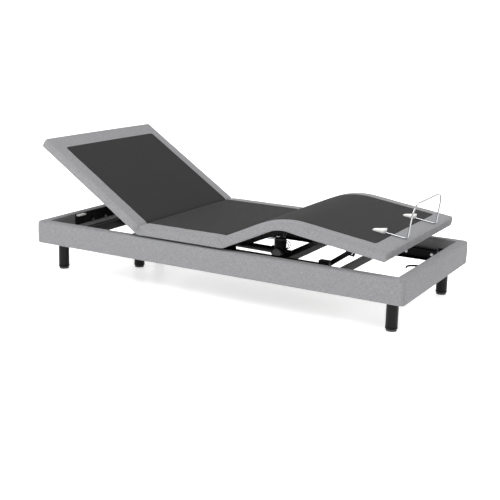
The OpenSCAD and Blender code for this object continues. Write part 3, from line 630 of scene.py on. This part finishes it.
def rounded_outline(half, low, high, top_radius, low_radius, crown, bulge):
    """A rounded rectangle as points (y, z) and the length v round it; the top is crowned and the sides bulge.

    The crown adds crown cos(pi y / (2 reach)) and the bulge adds bulge sin(pi d) at the share d of the height.
    """
    def arc(cy, cz, radius, start, end, count):
        a = np.radians(np.linspace(start, end, count))
        return np.stack([cy + radius * np.cos(a), cz + radius * np.sin(a)], 1)

    reach = half - top_radius
    top_y = np.linspace(reach, -reach, 61)
    top = np.stack([top_y, np.full(61, high)], 1)
    side_z = np.linspace(high - top_radius, low + low_radius, 25)
    left = np.stack([np.full(25, -half), side_z], 1)
    bottom_y = np.linspace(-(half - low_radius), half - low_radius, 41)
    bottom = np.stack([bottom_y, np.full(41, low)], 1)
    right = np.stack([np.full(25, half), side_z[::-1]], 1)
    loop = np.vstack(
        [
            top[:-1],
            arc(-reach, high - top_radius, top_radius, 90, 180, 9)[:-1],
            left[:-1],
            arc(-half + low_radius, low + low_radius, low_radius, 180, 270, 6)[:-1],
            bottom[:-1],
            arc(half - low_radius, low + low_radius, low_radius, 270, 360, 6)[:-1],
            right[:-1],
            arc(reach, high - top_radius, top_radius, 0, 90, 9)[:-1],
        ]
    )
    y, z = loop[:, 0].copy(), loop[:, 1].copy()
    depth = np.clip((z - low) / (high - low), 0, 1)
    z += np.where(z > high - 1e-6, crown * np.cos(np.clip(y / reach, -1, 1) * math.pi / 2), 0)
    y += np.sign(y) * bulge * np.sin(depth * math.pi) * (np.abs(y) > reach - 1e-6)
    step = np.linalg.norm(np.diff(np.vstack([loop, loop[:1]]), axis=0), axis=1)
    v = np.concatenate([[0], np.cumsum(step)])[:-1]
    return np.stack([y, z], 1), v


def row_places(low, high, fold, fine, coarse):
    """Places along the deck from low to high, closer together near the fold and at both ends."""
    places = [low]
    while places[-1] < high:
        place = places[-1]
        near = min(abs(place - fold), abs(place - low) * 1.2 + 0.001, abs(place - high) * 1.2 + 0.001)
        places.append(places[-1] + fine + (coarse - fine) * min(1.0, near / 0.12))
    places = np.array(places)
    return low + (places - low) * (high - low) / (places[-1] - low)


def fold_crease(away, gather):
    """Depth of the pressed line in a fold: 1.3 g exp(-(a / w)^2), g being the gather depth."""
    width = 0.004
    return gather * 1.3 * np.exp(-((away / width) ** 2))


def panel_cover(name, low, high, fold, closed_low, closed_high, gather):
    """A padded tube laid flat: the outline above at each place, drawn in to a round end where the panel ends.

    Near a closed end the outline shrinks by r (1 - sin a) while it runs out by r cos a, a quarter circle.
    Beside the fold the side bands are gathered: they move in and out by a sum of slanted waves that fade with
    the distance from the fold.
    """
    cloth = bpy.context.scene.bed_cloth
    radius = cloth.edge_radius
    low_radius = 0.008
    bulge = 0.0016
    outline, v = rounded_outline(
        DECK_HALF, DECK_BOTTOM - 0.0006, PADDING_TOP, radius, low_radius, cloth.crown, bulge
    )
    inner_low = low + radius if closed_low else low
    inner_high = high - radius if closed_high else high
    places = row_places(inner_low, inner_high, fold, 0.0028, 0.012)
    inset = np.zeros_like(places)
    quarter = np.linspace(0, math.pi / 2, 9)
    if closed_low:
        places = np.concatenate([inner_low - radius * np.sin(quarter[:0:-1]), places])
        inset = np.concatenate([radius * (1 - np.cos(quarter[:0:-1])), inset])
    if closed_high:
        places = np.concatenate([places, inner_high + radius * np.sin(quarter[1:])])
        inset = np.concatenate([inset, radius * (1 - np.cos(quarter[1:]))])
    middle = (DECK_TOP + DECK_BOTTOM) / 2
    y, z = outline[:, 0], outline[:, 1]
    rings = np.empty((len(places), len(outline), 3))
    rings[..., 0] = places[:, None]
    limit = np.abs(y)[None, :] > (DECK_HALF - radius - inset)[:, None]
    rings[..., 1] = np.where(limit, np.sign(y) * (np.abs(y) - inset[:, None]), y)
    height = (z - middle)[None, :]
    share = np.clip(1 - inset[:, None] / (DECK_TOP - middle), 0.02, 1)
    rings[..., 2] = middle + height * share
    band = np.clip((np.abs(y) - DECK_HALF + 0.02) / 0.02, 0, 1)[None, :]
    away = (places - fold)[:, None]
    depth = ((z - DECK_BOTTOM) / (DECK_TOP - DECK_BOTTOM))[None, :]
    fade = np.exp(-((away / 0.030) ** 2))
    waves = np.sin(away * 430 + depth * 5.0) + 0.6 * np.sin(away * 700 - depth * 9.0 + 1.3)
    swell = np.sin(np.clip(depth, 0, 1) * math.pi)
    rings[..., 1] += np.sign(y)[None, :] * band * fade * waves * gather * swell
    slack = np.sin(places * 41.0)[:, None] * np.sin(places * 17.0 + 0.6)[:, None]
    seam = 0.0014 * np.exp(-(((z - DECK_TOP + radius + 0.002) / 0.0014) ** 2)) * band[0]
    rings[..., 1] -= np.sign(y)[None, :] * seam[None, :]
    crease = fold_crease(away, gather) * np.clip((z - DECK_BOTTOM) / 0.03, 0, 1)[None, :]
    rings[..., 2] -= crease
    rings[..., 1] -= np.sign(y)[None, :] * band * crease
    rings[..., 1] += np.sign(y)[None, :] * band * slack * 0.0007
    rings[..., 2] += (z > DECK_TOP - 0.01)[None, :] * slack * 0.0004
    faces = closed_tube(rings)
    under = np.abs(rings[..., 2] - DECK_BOTTOM) < 0.0011
    corner = under & (np.abs(rings[..., 1]) < DECK_HALF - 0.03)
    dark_vertex = corner.reshape(-1)
    slots = [1 if all(dark_vertex[i] for i in face) else 0 for face in faces]
    u = places - places[0] + low
    uv = np.stack(np.broadcast_arrays(u[:, None], v[None, :]), -1).reshape(-1, 2)
    piece = make_object(name, rings.reshape(-1, 3), faces, uv, slots=slots)
    piece.data.materials.append(MATERIALS["pale"])
    piece.data.materials.append(MATERIALS["dust"])
    return face_outward(piece)


def dark_field(name, low, high, fold, round_low, round_high, gather):
    """A thin sewn cloth on the deck: a slab narrowed at its round corners by r - sqrt(r^2 - d^2)."""
    cloth = bpy.context.scene.bed_cloth
    radius = cloth.field_corner
    places = row_places(low, high, fold, 0.0028, 0.012)
    width = np.full(len(places), CLOTH_HALF)
    for flag, end, sign in ((round_low, low, 1), (round_high, high, -1)):
        if flag:
            d = np.clip(radius - sign * (places - end), 0, radius)
            width -= radius - np.sqrt(np.maximum(radius**2 - d**2, 0))
    across = np.concatenate([[-1, -0.9995, -0.998], np.linspace(-0.99, 0.99, 65), [0.998, 0.9995, 1]])
    reach = DECK_HALF - cloth.edge_radius
    y = width[:, None] * across[None, :]
    crown = cloth.crown * np.cos(np.clip(y / reach, -1, 1) * math.pi / 2)
    edge = (1 - np.abs(across)) * CLOTH_HALF
    lift = 0.0016 * np.sqrt(np.clip(edge / 0.0012, 0, 1))
    ends = np.ones(len(places))
    if round_low:
        ends = np.minimum(ends, np.sqrt(np.clip((places - low) / 0.003, 0, 1)))
    if round_high:
        ends = np.minimum(ends, np.sqrt(np.clip((high - places) / 0.003, 0, 1)))
    seam = 0.0009 * np.exp(-(((edge - 0.008) / 0.0022) ** 2))
    base = PADDING_TOP + crown - fold_crease((places - fold)[:, None], gather)
    top = np.empty((*y.shape, 3))
    top[..., 0] = places[:, None]
    top[..., 1] = y
    top[..., 2] = base + (lift * ends[:, None]) - seam[None, :] * ends[:, None] - 0.0003
    low_side = top.copy()
    low_side[..., 2] = base - 0.0022
    rows, columns = y.shape
    count = rows * columns
    top_faces = grid_faces(rows, columns)
    low_faces = [face[::-1] for face in grid_faces(rows, columns, start=count)]
    rim = np.concatenate(
        [
            np.arange(columns),
            np.arange(1, rows) * columns + columns - 1,
            (rows - 1) * columns + np.arange(columns - 1)[::-1],
            np.arange(1, rows - 1)[::-1] * columns,
        ]
    )
    after = np.roll(rim, -1)
    side = np.stack([rim, after, after + count, rim + count], 1)[:, ::-1].tolist()
    points = np.vstack([top.reshape(-1, 3), low_side.reshape(-1, 3)])
    uv = np.stack([points[:, 0], points[:, 1]], 1)
    piece = make_object(name, points, top_faces + low_faces + side, uv)
    piece.data.materials.append(MATERIALS["dark"])
    return face_outward(piece)


def bent_on_arc(points, pivot, angle, tangent):
    """Bends a flat panel along a circle that touches both straight parts at the tangent length.

    The radius is R = tangent / tan(angle / 2). A point s along and h above the pivot stands at
    (R + h) (sin a, cos a) from the circle's centre with a = angle (s + tangent) / (2 tangent); beyond the
    second touching place it simply turns about the pivot.
    """
    radius = tangent / math.tan(angle / 2)
    along = points[:, 0] - pivot[0]
    above = points[:, 2] - pivot[2]
    turn = angle * np.clip((along + tangent) / (2 * tangent), 0, 1)
    bent = points.copy()
    on_arc = (along > -tangent) & (along < tangent)
    bent[on_arc, 0] = pivot[0] - tangent + (radius + above[on_arc]) * np.sin(turn[on_arc])
    bent[on_arc, 2] = pivot[2] - radius + (radius + above[on_arc]) * np.cos(turn[on_arc])
    beyond = along >= tangent
    bent[beyond] = turned(points[beyond], pivot, angle)
    return bent


def blend_and_pose(piece, first, second, pivot, angle, low, high, rise=0.0):
    """Gives the flat piece its blend between two bodies and then bends it into the pose.

    At the head and thigh folds each point turns about the joint by angle times its own weight. The wide
    knee is bent along a circle, and rise then lifts the whole piece with the thigh.
    """
    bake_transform(piece, first, second, start=(low, 0, pivot[2]), end=(high, 0, pivot[2]))
    mesh = piece.data
    points = np.empty(len(mesh.vertices) * 3)
    mesh.vertices.foreach_get("co", points)
    points = points.reshape(-1, 3)
    weight = np.empty(len(points), np.float32)
    mesh.attributes["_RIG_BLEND"].data.foreach_get("value", weight)
    if rise:
        # The top follows the circle; the underside keeps nearer to the turned shape, so that it stays clear
        # of the drive and the rails when the panel is laid flat
        share = 0.35 + 0.65 * np.clip((points[:, 2:3] - DECK_BOTTOM) / (DECK_TOP - DECK_BOTTOM), 0, 1)
        bent = bent_on_arc(points, pivot, angle, high - pivot[0])
        posed = turned(points, pivot, angle * weight.astype(float))
        posed = turned(posed + (bent - posed) * share, THIGH_PIVOT, -rise)
    else:
        posed = turned(points, pivot, angle * weight.astype(float))
    mesh.vertices.foreach_set("co", posed.astype(np.float32).ravel())
    mesh.update()
    return piece


# How far each fold reaches to both sides of its hinge
HEAD_FOLD_REACH = 0.024
THIGH_FOLD_REACH = 0.026
KNEE_TANGENT = 0.108
FOLDS = {
    "head": dict(first="carriage", second="head_panel", pivot=HEAD_PIVOT, angle=HEAD_RISE,
                 low=HEAD_PIVOT[0] + HEAD_FOLD_REACH, high=HEAD_PIVOT[0] - HEAD_FOLD_REACH, rise=0.0),
    "thigh": dict(first="carriage", second="thigh_panel", pivot=THIGH_PIVOT, angle=-THIGH_RISE,
                  low=THIGH_PIVOT[0] - THIGH_FOLD_REACH, high=THIGH_PIVOT[0] + THIGH_FOLD_REACH, rise=0.0),
    "knee": dict(first="thigh_panel", second="calf_panel", pivot=KNEE_PIVOT, angle=KNEE_FOLD,
                 low=KNEE_PIVOT[0] - KNEE_TANGENT, high=KNEE_PIVOT[0] + KNEE_TANGENT, rise=THIGH_RISE),
}


class BED_OT_deck_covers(Operator):
    """Padded pale covers of the four panels, in three lengths that each cross one fold"""

    bl_idname = "bed.deck_covers"
    bl_label = "Deck covers"

    def execute(self, context):
        gather = context.scene.bed_cloth.fold_depth
        covers = (
            ("head", HEAD_END, SEAT_MIDDLE, "head", True, False, gather, ["head_pad", "seat_pad"]),
            ("thigh", SEAT_MIDDLE, THIGH_MIDDLE, "thigh", False, False, gather * 0.4, ["thigh_pad"]),
            ("calf", THIGH_MIDDLE, CALF_END, "knee", False, True, 0.0, ["calf_pad"]),
        )
        for name, low, high, fold, closed_low, closed_high, depth, stands_for in covers:
            rule = FOLDS[fold]
            middle = rule["pivot"][0]
            piece = panel_cover(f"deck_cover_{name}", low, high, middle, closed_low, closed_high, depth)
            blend_and_pose(piece, **rule)
            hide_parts(*stands_for)
        return {"FINISHED"}


class BED_OT_dark_fields(Operator):
    """Dark centre cloth, sewn on in the same three lengths"""

    bl_idname = "bed.dark_fields"
    bl_label = "Dark cloth"

    def execute(self, context):
        gather = context.scene.bed_cloth.fold_depth
        fields = (
            ("head", CLOTH_HEAD_END, SEAT_MIDDLE, "head", True, False, gather, ["head_cloth", "seat_cloth"]),
            ("thigh", SEAT_MIDDLE, THIGH_MIDDLE, "thigh", False, False, gather * 0.4, ["thigh_cloth"]),
            ("calf", THIGH_MIDDLE, CLOTH_FOOT_END, "knee", False, True, 0.0, ["calf_cloth"]),
        )
        for name, low, high, fold, round_low, round_high, depth, stands_for in fields:
            rule = FOLDS[fold]
            middle = rule["pivot"][0]
            piece = dark_field(f"dark_cloth_{name}", low, high, middle, round_low, round_high, depth)
            blend_and_pose(piece, **rule)
            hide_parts(*stands_for)
        return {"FINISHED"}


# ---------- the upholstered frame ----------


def frame_path(length, width, corner, step):
    """A rounded rectangle seen from above, counter-clockwise, with the outward direction at each point."""
    half_x = length / 2 - corner
    half_y = width / 2 - corner
    centres = ((half_x, -half_y, -90), (half_x, half_y, 0), (-half_x, half_y, 90), (-half_x, -half_y, 180))
    points, outward = [], []
    for index, (x, y, start) in enumerate(centres):
        angle = np.radians(start + np.linspace(0, 90, 13))
        direction = np.stack([np.cos(angle), np.sin(angle)], 1)
        points.append(np.array([x, y]) + corner * direction)
        outward.append(direction)
        after = centres[(index + 1) % 4]
        begin = np.array([x, y]) + corner * direction[-1]
        finish = np.array(after[:2]) + corner * direction[-1]
        count = max(2, int(np.linalg.norm(finish - begin) / step))
        share = np.linspace(0, 1, count + 1)[1:-1, None]
        points.append(begin + (finish - begin) * share)
        outward.append(np.repeat(direction[-1:], count - 1, 0))
    return np.vstack(points), np.vstack(outward)


class BED_OT_rail_upholstery(Operator):
    """Padded rails with round corners, wrapped in the pale cloth"""

    bl_idname = "bed.rail_upholstery"
    bl_label = "Upholstered rails"

    def execute(self, context):
        radius = context.scene.bed_cloth.rail_radius
        low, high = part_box("rail_upholstery")
        inner = float(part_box("side_channels")[1].y)
        thick = high.y - inner
        corner = context.scene.bed_cloth.frame_corner
        path, outward = frame_path(high.x - low.x, high.y - low.y, corner, 0.012)
        bottom = low.z - 0.0006
        top = float(high.z)

        def arc(cu, cz, r, start, end, count):
            a = np.radians(np.linspace(start, end, count))
            return np.stack([cu + r * np.cos(a), cz + r * np.sin(a)], 1)

        side = np.linspace(bottom + 0.006, top - radius, 13)[1:-1]
        profile = np.vstack(
            [
                arc(-0.006, bottom + 0.006, 0.006, -90, 0, 8),
                np.stack([np.zeros(11), side], 1),
                arc(-radius, top - radius, radius, 0, 90, 8),
                arc(-thick + 0.006, top - 0.006, 0.006, 90, 180, 5),
                np.stack([np.full(11, -thick), side[::-1]], 1),
                arc(-thick + 0.004, bottom + 0.004, 0.004, 180, 270, 4),
            ]
        )
        share = np.clip((profile[:, 1] - bottom) / (top - bottom), 0, 1)
        profile[:, 0] += np.where(profile[:, 0] > -0.006, 0.0012 * np.sin(share * math.pi), 0)
        welt = (profile[:, 0] < -0.02) & (profile[:, 0] > -thick + 0.004) & (profile[:, 1] > top - 0.001)
        profile[welt, 1] -= 0.0006
        ring = np.linalg.norm(np.diff(np.vstack([profile, profile[:1]]), axis=0), axis=1)
        v = np.concatenate([[0], np.cumsum(ring)])[:-1]
        step = np.linalg.norm(np.diff(np.vstack([path, path[:1]]), axis=0), axis=1)
        u = np.concatenate([[0], np.cumsum(step)])
        path = np.vstack([path, path[:1]])
        outward = np.vstack([outward, outward[:1]])
        rings = np.empty((len(path), len(profile), 3))
        slack = 0.0006 * np.sin(u * 23.0) * np.sin(u * 7.3 + 1.0)
        face = np.sin(share * math.pi) * (profile[:, 0] > -radius)
        rings[..., :2] = path[:, None, :] + outward[:, None, :] * (
            profile[None, :, 0, None] + (slack[:, None] * face[None, :])[..., None]
        )
        # Further in than the corner's radius the outline is the inner rectangle, approached at a fiftieth
        limit = np.array([high.x, high.y])[None, None, :] + profile[None, :, 0, None]
        spill = np.maximum(np.abs(path)[:, None, :] - limit, 0)
        inner = np.sign(path)[:, None, :] * (np.minimum(np.abs(path)[:, None, :], limit) + 0.02 * spill)
        rings[..., :2] = np.where((profile[:, 0] < -corner)[None, :, None], inner, rings[..., :2])
        rings[..., 2] = profile[None, :, 1]
        faces = grid_faces(len(path), len(profile), wrap=True)
        flat = np.abs(profile[:, 1] - bottom) < 0.0002
        columns = len(profile)
        slots = [1 if flat[f[0] % columns] and flat[f[1] % columns] else 0 for f in faces]
        uv = np.stack(np.broadcast_arrays(u[:, None], v[None, :]), -1).reshape(-1, 2)
        piece = make_object("rail_upholstery_cover", rings.reshape(-1, 3), faces, uv, slots=slots)
        piece.data.materials.append(MATERIALS["pale"])
        piece.data.materials.append(MATERIALS["dust"])
        face_outward(piece)
        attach(piece, "base")
        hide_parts("rail_upholstery")
        return {"FINISHED"}


# ---------- legs ----------


def solid_centres(node, count):
    """Centres of a node's separate solids, which stand in different quarters of the frame."""
    points = node_points(node)
    centres = []
    for sx in (-1, 1):
        for sy in (-1, 1):
            mask = (np.sign(points[:, 0]) == sx) & (np.sign(points[:, 1]) == sy)
            if mask.any():
                part = points[mask]
                centres.append((part.min(0) + part.max(0)) / 2)
    if len(centres) != count:
        raise RuntimeError(f"{node} has {len(centres)} solids in place of {count}")
    return centres


def leg_profile(radius, low, high):
    """Leg outline from the floor up: a round lower edge, a slightly wider foot and a chamfered top."""
    return [
        (0.004, low), (radius - 0.003, low), (radius - 0.0012, low + 0.0006), (radius + 0.0004, low + 0.0022),
        (radius + 0.001, low + 0.0045), (radius + 0.001, low + 0.0075), (radius + 0.0005, low + 0.0105),
        (radius, low + 0.0120), (radius, low + 0.0128), (radius, high - 0.010), (radius, high - 0.0022),
        (radius - 0.0008, high - 0.0008), (radius - 0.002, high), (0.004, high),
    ]


class BED_OT_legs(Operator):
    """Turned gloss legs; each middle leg has a square plate on top"""

    bl_idname = "bed.legs"
    bl_label = "Legs"

    def execute(self, context):
        low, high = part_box("corner_legs")
        for number, centre in enumerate(solid_centres("corner_legs", 4)):
            piece = lathe(f"corner_leg_{number + 1}", leg_profile(0.0275, low.z, high.z), centre)
            piece.data.materials.append(MATERIALS["lacquer"])
            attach(piece, "base")
            if number == 0:
                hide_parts("corner_legs")
        low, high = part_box("middle_legs")
        for number, centre in enumerate(solid_centres("middle_legs", 2)):
            shaft = lathe(f"middle_leg_{number + 1}", leg_profile(0.0275, low.z, high.z - 0.006), centre)
            plate = rounded_slab(
                "plate", centre[0] - 0.038, centre[0] + 0.038, centre[1] - 0.038, centre[1] + 0.038,
                high.z - 0.006, high.z, 0.006,
            )
            shaft.data.materials.append(MATERIALS["lacquer"])
            plate.data.materials.append(MATERIALS["lacquer"])
            piece = joined(f"middle_leg_{number + 1}", [shaft, plate])
            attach(piece, "base")
            if number == 0:
                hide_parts("middle_legs")
        return {"FINISHED"}


def rounded_slab(name, x0, x1, y0, y1, z0, z1, radius, edge=0.0012):
    """A flat block with round corners seen from above and small round edges.

    It is a stack of rings: one outline, drawn in by the inset of its level.
    """
    angle = np.radians(np.arange(0, 360, 11.25))
    direction = np.stack([np.cos(angle), np.sin(angle)], 1)
    middle = np.array([(x0 + x1) / 2, (y0 + y1) / 2])
    half = np.array([(x1 - x0) / 2, (y1 - y0) / 2]) - radius
    side = np.where(np.abs(direction) < 1e-6, 0.0, np.sign(direction))
    outline = direction * radius + side * half
    rows = []
    rise = ((4, 0), (1, 0), (0.3, 0.3), (0, 1))
    levels = [(edge * inset, z0 + edge * up) for inset, up in rise]
    levels += [(edge * inset, z1 - edge * up) for inset, up in reversed(rise)]
    for inset, z in levels:
        shrink = outline - direction * inset
        rows.append(np.column_stack([middle + shrink, np.full(len(shrink), z)]))
    rings = np.array(rows)
    piece = make_object(name, rings.reshape(-1, 3), closed_tube(rings))
    return face_outward(piece)


# ---------- retainer ----------


def raised_with_calf(points):
    """Takes points laid flat with the calf panel up into the pose."""
    posed = turned(points, KNEE_PIVOT, KNEE_FOLD)
    return turned(posed, THIGH_PIVOT, -THIGH_RISE)


class BED_OT_retainer(Operator):
    """Chrome bar at the foot, bent from one rod, and its two tapered clips"""

    bl_idname = "bed.retainer"
    bl_label = "Retainer bar"

    def execute(self, context):
        radius = context.scene.bed_metal.bar_radius
        bar = flat_points("retainer_bar", "calf")
        low, high = bar.min(0), bar.max(0)
        half = high[1] - radius
        bend_x = high[0] - radius
        floor = low[2] + radius
        top = high[2] - radius
        start = low[0]

        def quarter(centre, first, second, reach, count=9):
            a = np.linspace(0, math.pi / 2, count)[:, None]
            return np.array(centre) + reach * (np.cos(a) * np.array(first) + np.sin(a) * np.array(second))

        def straight(begin, end, count):
            return np.linspace(begin, end, count + 2)[1:-1]

        foot = 0.013
        shoulder = 0.062
        one = [
            straight((start, half, floor), (bend_x - foot, half, floor), 10),
            quarter((bend_x - foot, half, floor + foot), (0, 0, -1), (1, 0, 0), foot),
            straight((bend_x, half, floor + foot), (bend_x, half, top - shoulder), 8),
            quarter((bend_x, half - shoulder, top - shoulder), (0, 1, 0), (0, 0, 1), shoulder, 15),
        ]
        side = np.vstack(one)
        other = side[::-1] * np.array([1, -1, 1])
        across = straight((bend_x, half - shoulder, top), (bend_x, shoulder - half, top), 12)
        path = np.vstack([side, across, other])
        piece = tube_along("retainer_rod", raised_with_calf(path), radius, sides=20)
        piece.data.materials.append(MATERIALS["chrome"])
        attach(piece, "calf_panel")
        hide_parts("retainer_bar")

        clips = flat_points("retainer_clips", "calf")
        for number, sign in enumerate((-1, 1)):
            points = clips[np.sign(clips[:, 1]) == sign]
            a, b = points.min(0), points.max(0)
            t = np.linspace(0, 1, 17)
            x = a[0] + (b[0] - a[0]) * t
            nose = np.sqrt(np.clip(t / 0.12, 0, 1)) * np.sqrt(np.clip((1.0001 - t) / 0.04, 0, 1))
            width = (0.010 + 0.015 * t) * nose
            tall = (0.007 + (b[2] - a[2] - 0.007) * t) * (0.55 + 0.45 * nose)
            angle = np.linspace(0, 2 * math.pi, 28, endpoint=False)
            power = 0.55
            section_y = np.sign(np.cos(angle)) * np.abs(np.cos(angle)) ** power
            section_z = np.sign(np.sin(angle)) * np.abs(np.sin(angle)) ** power
            rings = np.empty((len(t), len(angle), 3))
            rings[..., 0] = x[:, None]
            rings[..., 1] = sign * half + width[:, None] * section_y[None, :]
            rings[..., 2] = a[2] - 0.001 + (tall[:, None] + 0.001) * (section_z[None, :] + 1) / 2
            posed = raised_with_calf(rings.reshape(-1, 3))
            piece = make_object(f"retainer_clip_{number + 1}", posed, closed_tube(rings))
            face_outward(piece)
            piece.data.materials.append(MATERIALS["pale_plastic"])
            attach(piece, "calf_panel")
            if number == 0:
                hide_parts("retainer_clips")
        return {"FINISHED"}


# ---------- steelwork and drives ----------


class BED_OT_steelwork(Operator):
    """Finishes on the frame's own tubes, brackets, boards, drives and fastenings"""

    bl_idname = "bed.steelwork"
    bl_label = "Steelwork"

    def execute(self, context):
        for finish, names in CAD_FINISH.items():
            for name in names:
                node = frame["nodes"].get(name)
                if node is None:
                    continue
                node.data.materials.clear()
                node.data.materials.append(MATERIALS[finish])
        return {"FINISHED"}


class BED_OT_cable(Operator):
    """Short black cable tail at the foot rail"""

    bl_idname = "bed.cable"
    bl_label = "Cable tail"

    def execute(self, context):
        low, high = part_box("cable_hook")
        radius = 0.0045
        z = high.z - 0.010
        route = np.array(
            [
                (high.x, high.y - 0.010, z), (high.x - 0.016, high.y - 0.011, z + 0.001),
                (high.x - 0.036, high.y - 0.022, z + 0.001), (low.x + 0.022, low.y + 0.019, z + 0.001),
                (low.x + 0.010, low.y + 0.010, z - 0.002), (low.x + 0.0055, low.y + 0.0055, z - 0.010),
            ]
        )
        piece = tube_along("cable_tail", smooth_path(route, 40), radius)
        gland_route = np.array([(high.x - back, route[0, 1], z) for back in (0, 0.004, 0.010)])
        gland = tube_along("gland", gland_route, 0.0095, sides=24)
        piece.data.materials.append(MATERIALS["black_plastic"])
        gland.data.materials.append(MATERIALS["black_plastic"])
        piece = joined("cable_tail", [piece, gland])
        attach(piece, "base")
        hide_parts("cable_hook")
        return {"FINISHED"}


# ---------- stage ----------


def area_light(name, place, target, size, power, colour=(1, 1, 1)):
    """A square area light at a place, facing a target."""
    data = bpy.data.lights.new(name, "AREA")
    data.size = size
    data.energy = power
    data.color = colour
    light = bpy.data.objects.new(name, data)
    light.location = place
    light.rotation_euler = (Vector(target) - Vector(place)).to_track_quat("-Z", "Y").to_euler()
    bpy.context.scene.collection.objects.link(light)
    return light


class BED_OT_stage(Operator):
    """Camera, floor and studio light"""

    bl_idname = "bed.stage"
    bl_label = "Stage"

    def execute(self, context):
        stage = context.scene.bed_stage
        middle = (0.0, 0.0, 0.3)
        data = bpy.data.cameras.new("camera")
        data.lens = stage.lens
        data.sensor_width = 36.0
        data.shift_x = 0.0294
        data.shift_y = -0.0512
        camera = bpy.data.objects.new("camera", data)
        camera.location = (2.300, -4.176, 1.338)
        yaw = Euler((0, 0, math.radians(29.64))).to_matrix()
        pitch = Euler((math.radians(77.61), 0, 0)).to_matrix()
        roll = Euler((0, 0, math.radians(1.45))).to_matrix()
        camera.rotation_euler = (yaw @ pitch @ roll).to_euler()
        context.scene.collection.objects.link(camera)
        context.scene.camera = camera

        lines = 81
        t = np.linspace(-16.0, 16.0, lines)
        x, y = np.meshgrid(t, t, indexing="ij")
        # The sheet curves up behind the bed: its height is 0.12 times the square of the distance beyond 4.5 m
        away = np.maximum((y - x) / math.sqrt(2) - 4.5, 0)
        points = np.stack([x, y, 0.12 * away**2 - 0.0003], -1).reshape(-1, 3)
        floor = make_object("floor", points, [f[::-1] for f in grid_faces(lines, lines)])
        material, nodes, links, shader = new_material("StudioFloor")
        place = nodes.new("ShaderNodeTexCoord").outputs["Object"]
        cloud = noise_node(nodes, links, place, 1.2, 2.0)
        tone = tuple(stage.floor)
        shade = tuple(c * 0.985 for c in tone)
        links.new(mix_colour(nodes, links, cloud, shade, tone), shader.inputs["Base Color"])
        shader.inputs["Roughness"].default_value = 0.28
        shader.inputs["Specular IOR Level"].default_value = 0.25
        shader.inputs["Emission Color"].default_value = (1, 1, 1, 1)
        shader.inputs["Emission Strength"].default_value = stage.glow
        floor.data.materials.append(material)
        if floor.data.polygons[0].normal.z < 0:
            floor.data.flip_normals()

        world = bpy.data.worlds.new("studio")
        world.use_nodes = True
        world.node_tree.nodes["Background"].inputs["Color"].default_value = (1, 1, 1, 1)
        world.node_tree.nodes["Background"].inputs["Strength"].default_value = 0.55
        context.scene.world = world
        area_light("key", (0.4, -2.6, 4.2), middle, 3.6, stage.key_power)
        area_light("fill", (-3.6, -2.8, 2.4), middle, 2.4, stage.key_power * 0.25)
        area_light("rim", (2.8, 2.6, 3.0), middle, 2.4, stage.key_power * 0.3)
        context.scene.view_settings.view_transform = "Standard"
        return {"FINISHED"}


class BED_PT_panel(Panel):
    """Lists the settings and the steps in the sidebar"""

    bl_idname = "BED_PT_panel"
    bl_label = "Bed Base"
    bl_space_type = "VIEW_3D"
    bl_region_type = "UI"
    bl_category = "Bed Base"

    def draw(self, context):
        scene = context.scene
        groups = {"Cloth": scene.bed_cloth, "Metal": scene.bed_metal, "Stage": scene.bed_stage}
        for title, settings in groups.items():
            box = self.layout.box()
            box.label(text=title)
            for key in settings.bl_rna.properties.keys():
                if key not in ("rna_type", "name"):
                    box.prop(settings, key)
        for operator in STEPS:
            self.layout.operator(operator.bl_idname)


STEPS = (
    BED_OT_stage,
    BED_OT_cable,
    BED_OT_rail_upholstery,
    BED_OT_deck_covers,
    BED_OT_dark_fields,
    BED_OT_legs,
    BED_OT_retainer,
    BED_OT_steelwork,
)
CLASSES = (BedClothSettings, BedMetalSettings, BedStageSettings, *STEPS, BED_PT_panel)


def register():
    for item in CLASSES:
        bpy.utils.register_class(item)
    bpy.types.Scene.bed_cloth = PointerProperty(type=BedClothSettings)
    bpy.types.Scene.bed_metal = PointerProperty(type=BedMetalSettings)
    bpy.types.Scene.bed_stage = PointerProperty(type=BedStageSettings)


def unregister():
    del bpy.types.Scene.bed_stage
    del bpy.types.Scene.bed_metal
    del bpy.types.Scene.bed_cloth
    for item in reversed(CLASSES):
        bpy.utils.unregister_class(item)


def main():
    """Registers the add-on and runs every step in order."""
    register()
    make_materials()
    for operator in STEPS:
        group, name = operator.bl_idname.split(".")
        getattr(getattr(bpy.ops, group), name)()


if __name__ == "__main__":
    main()
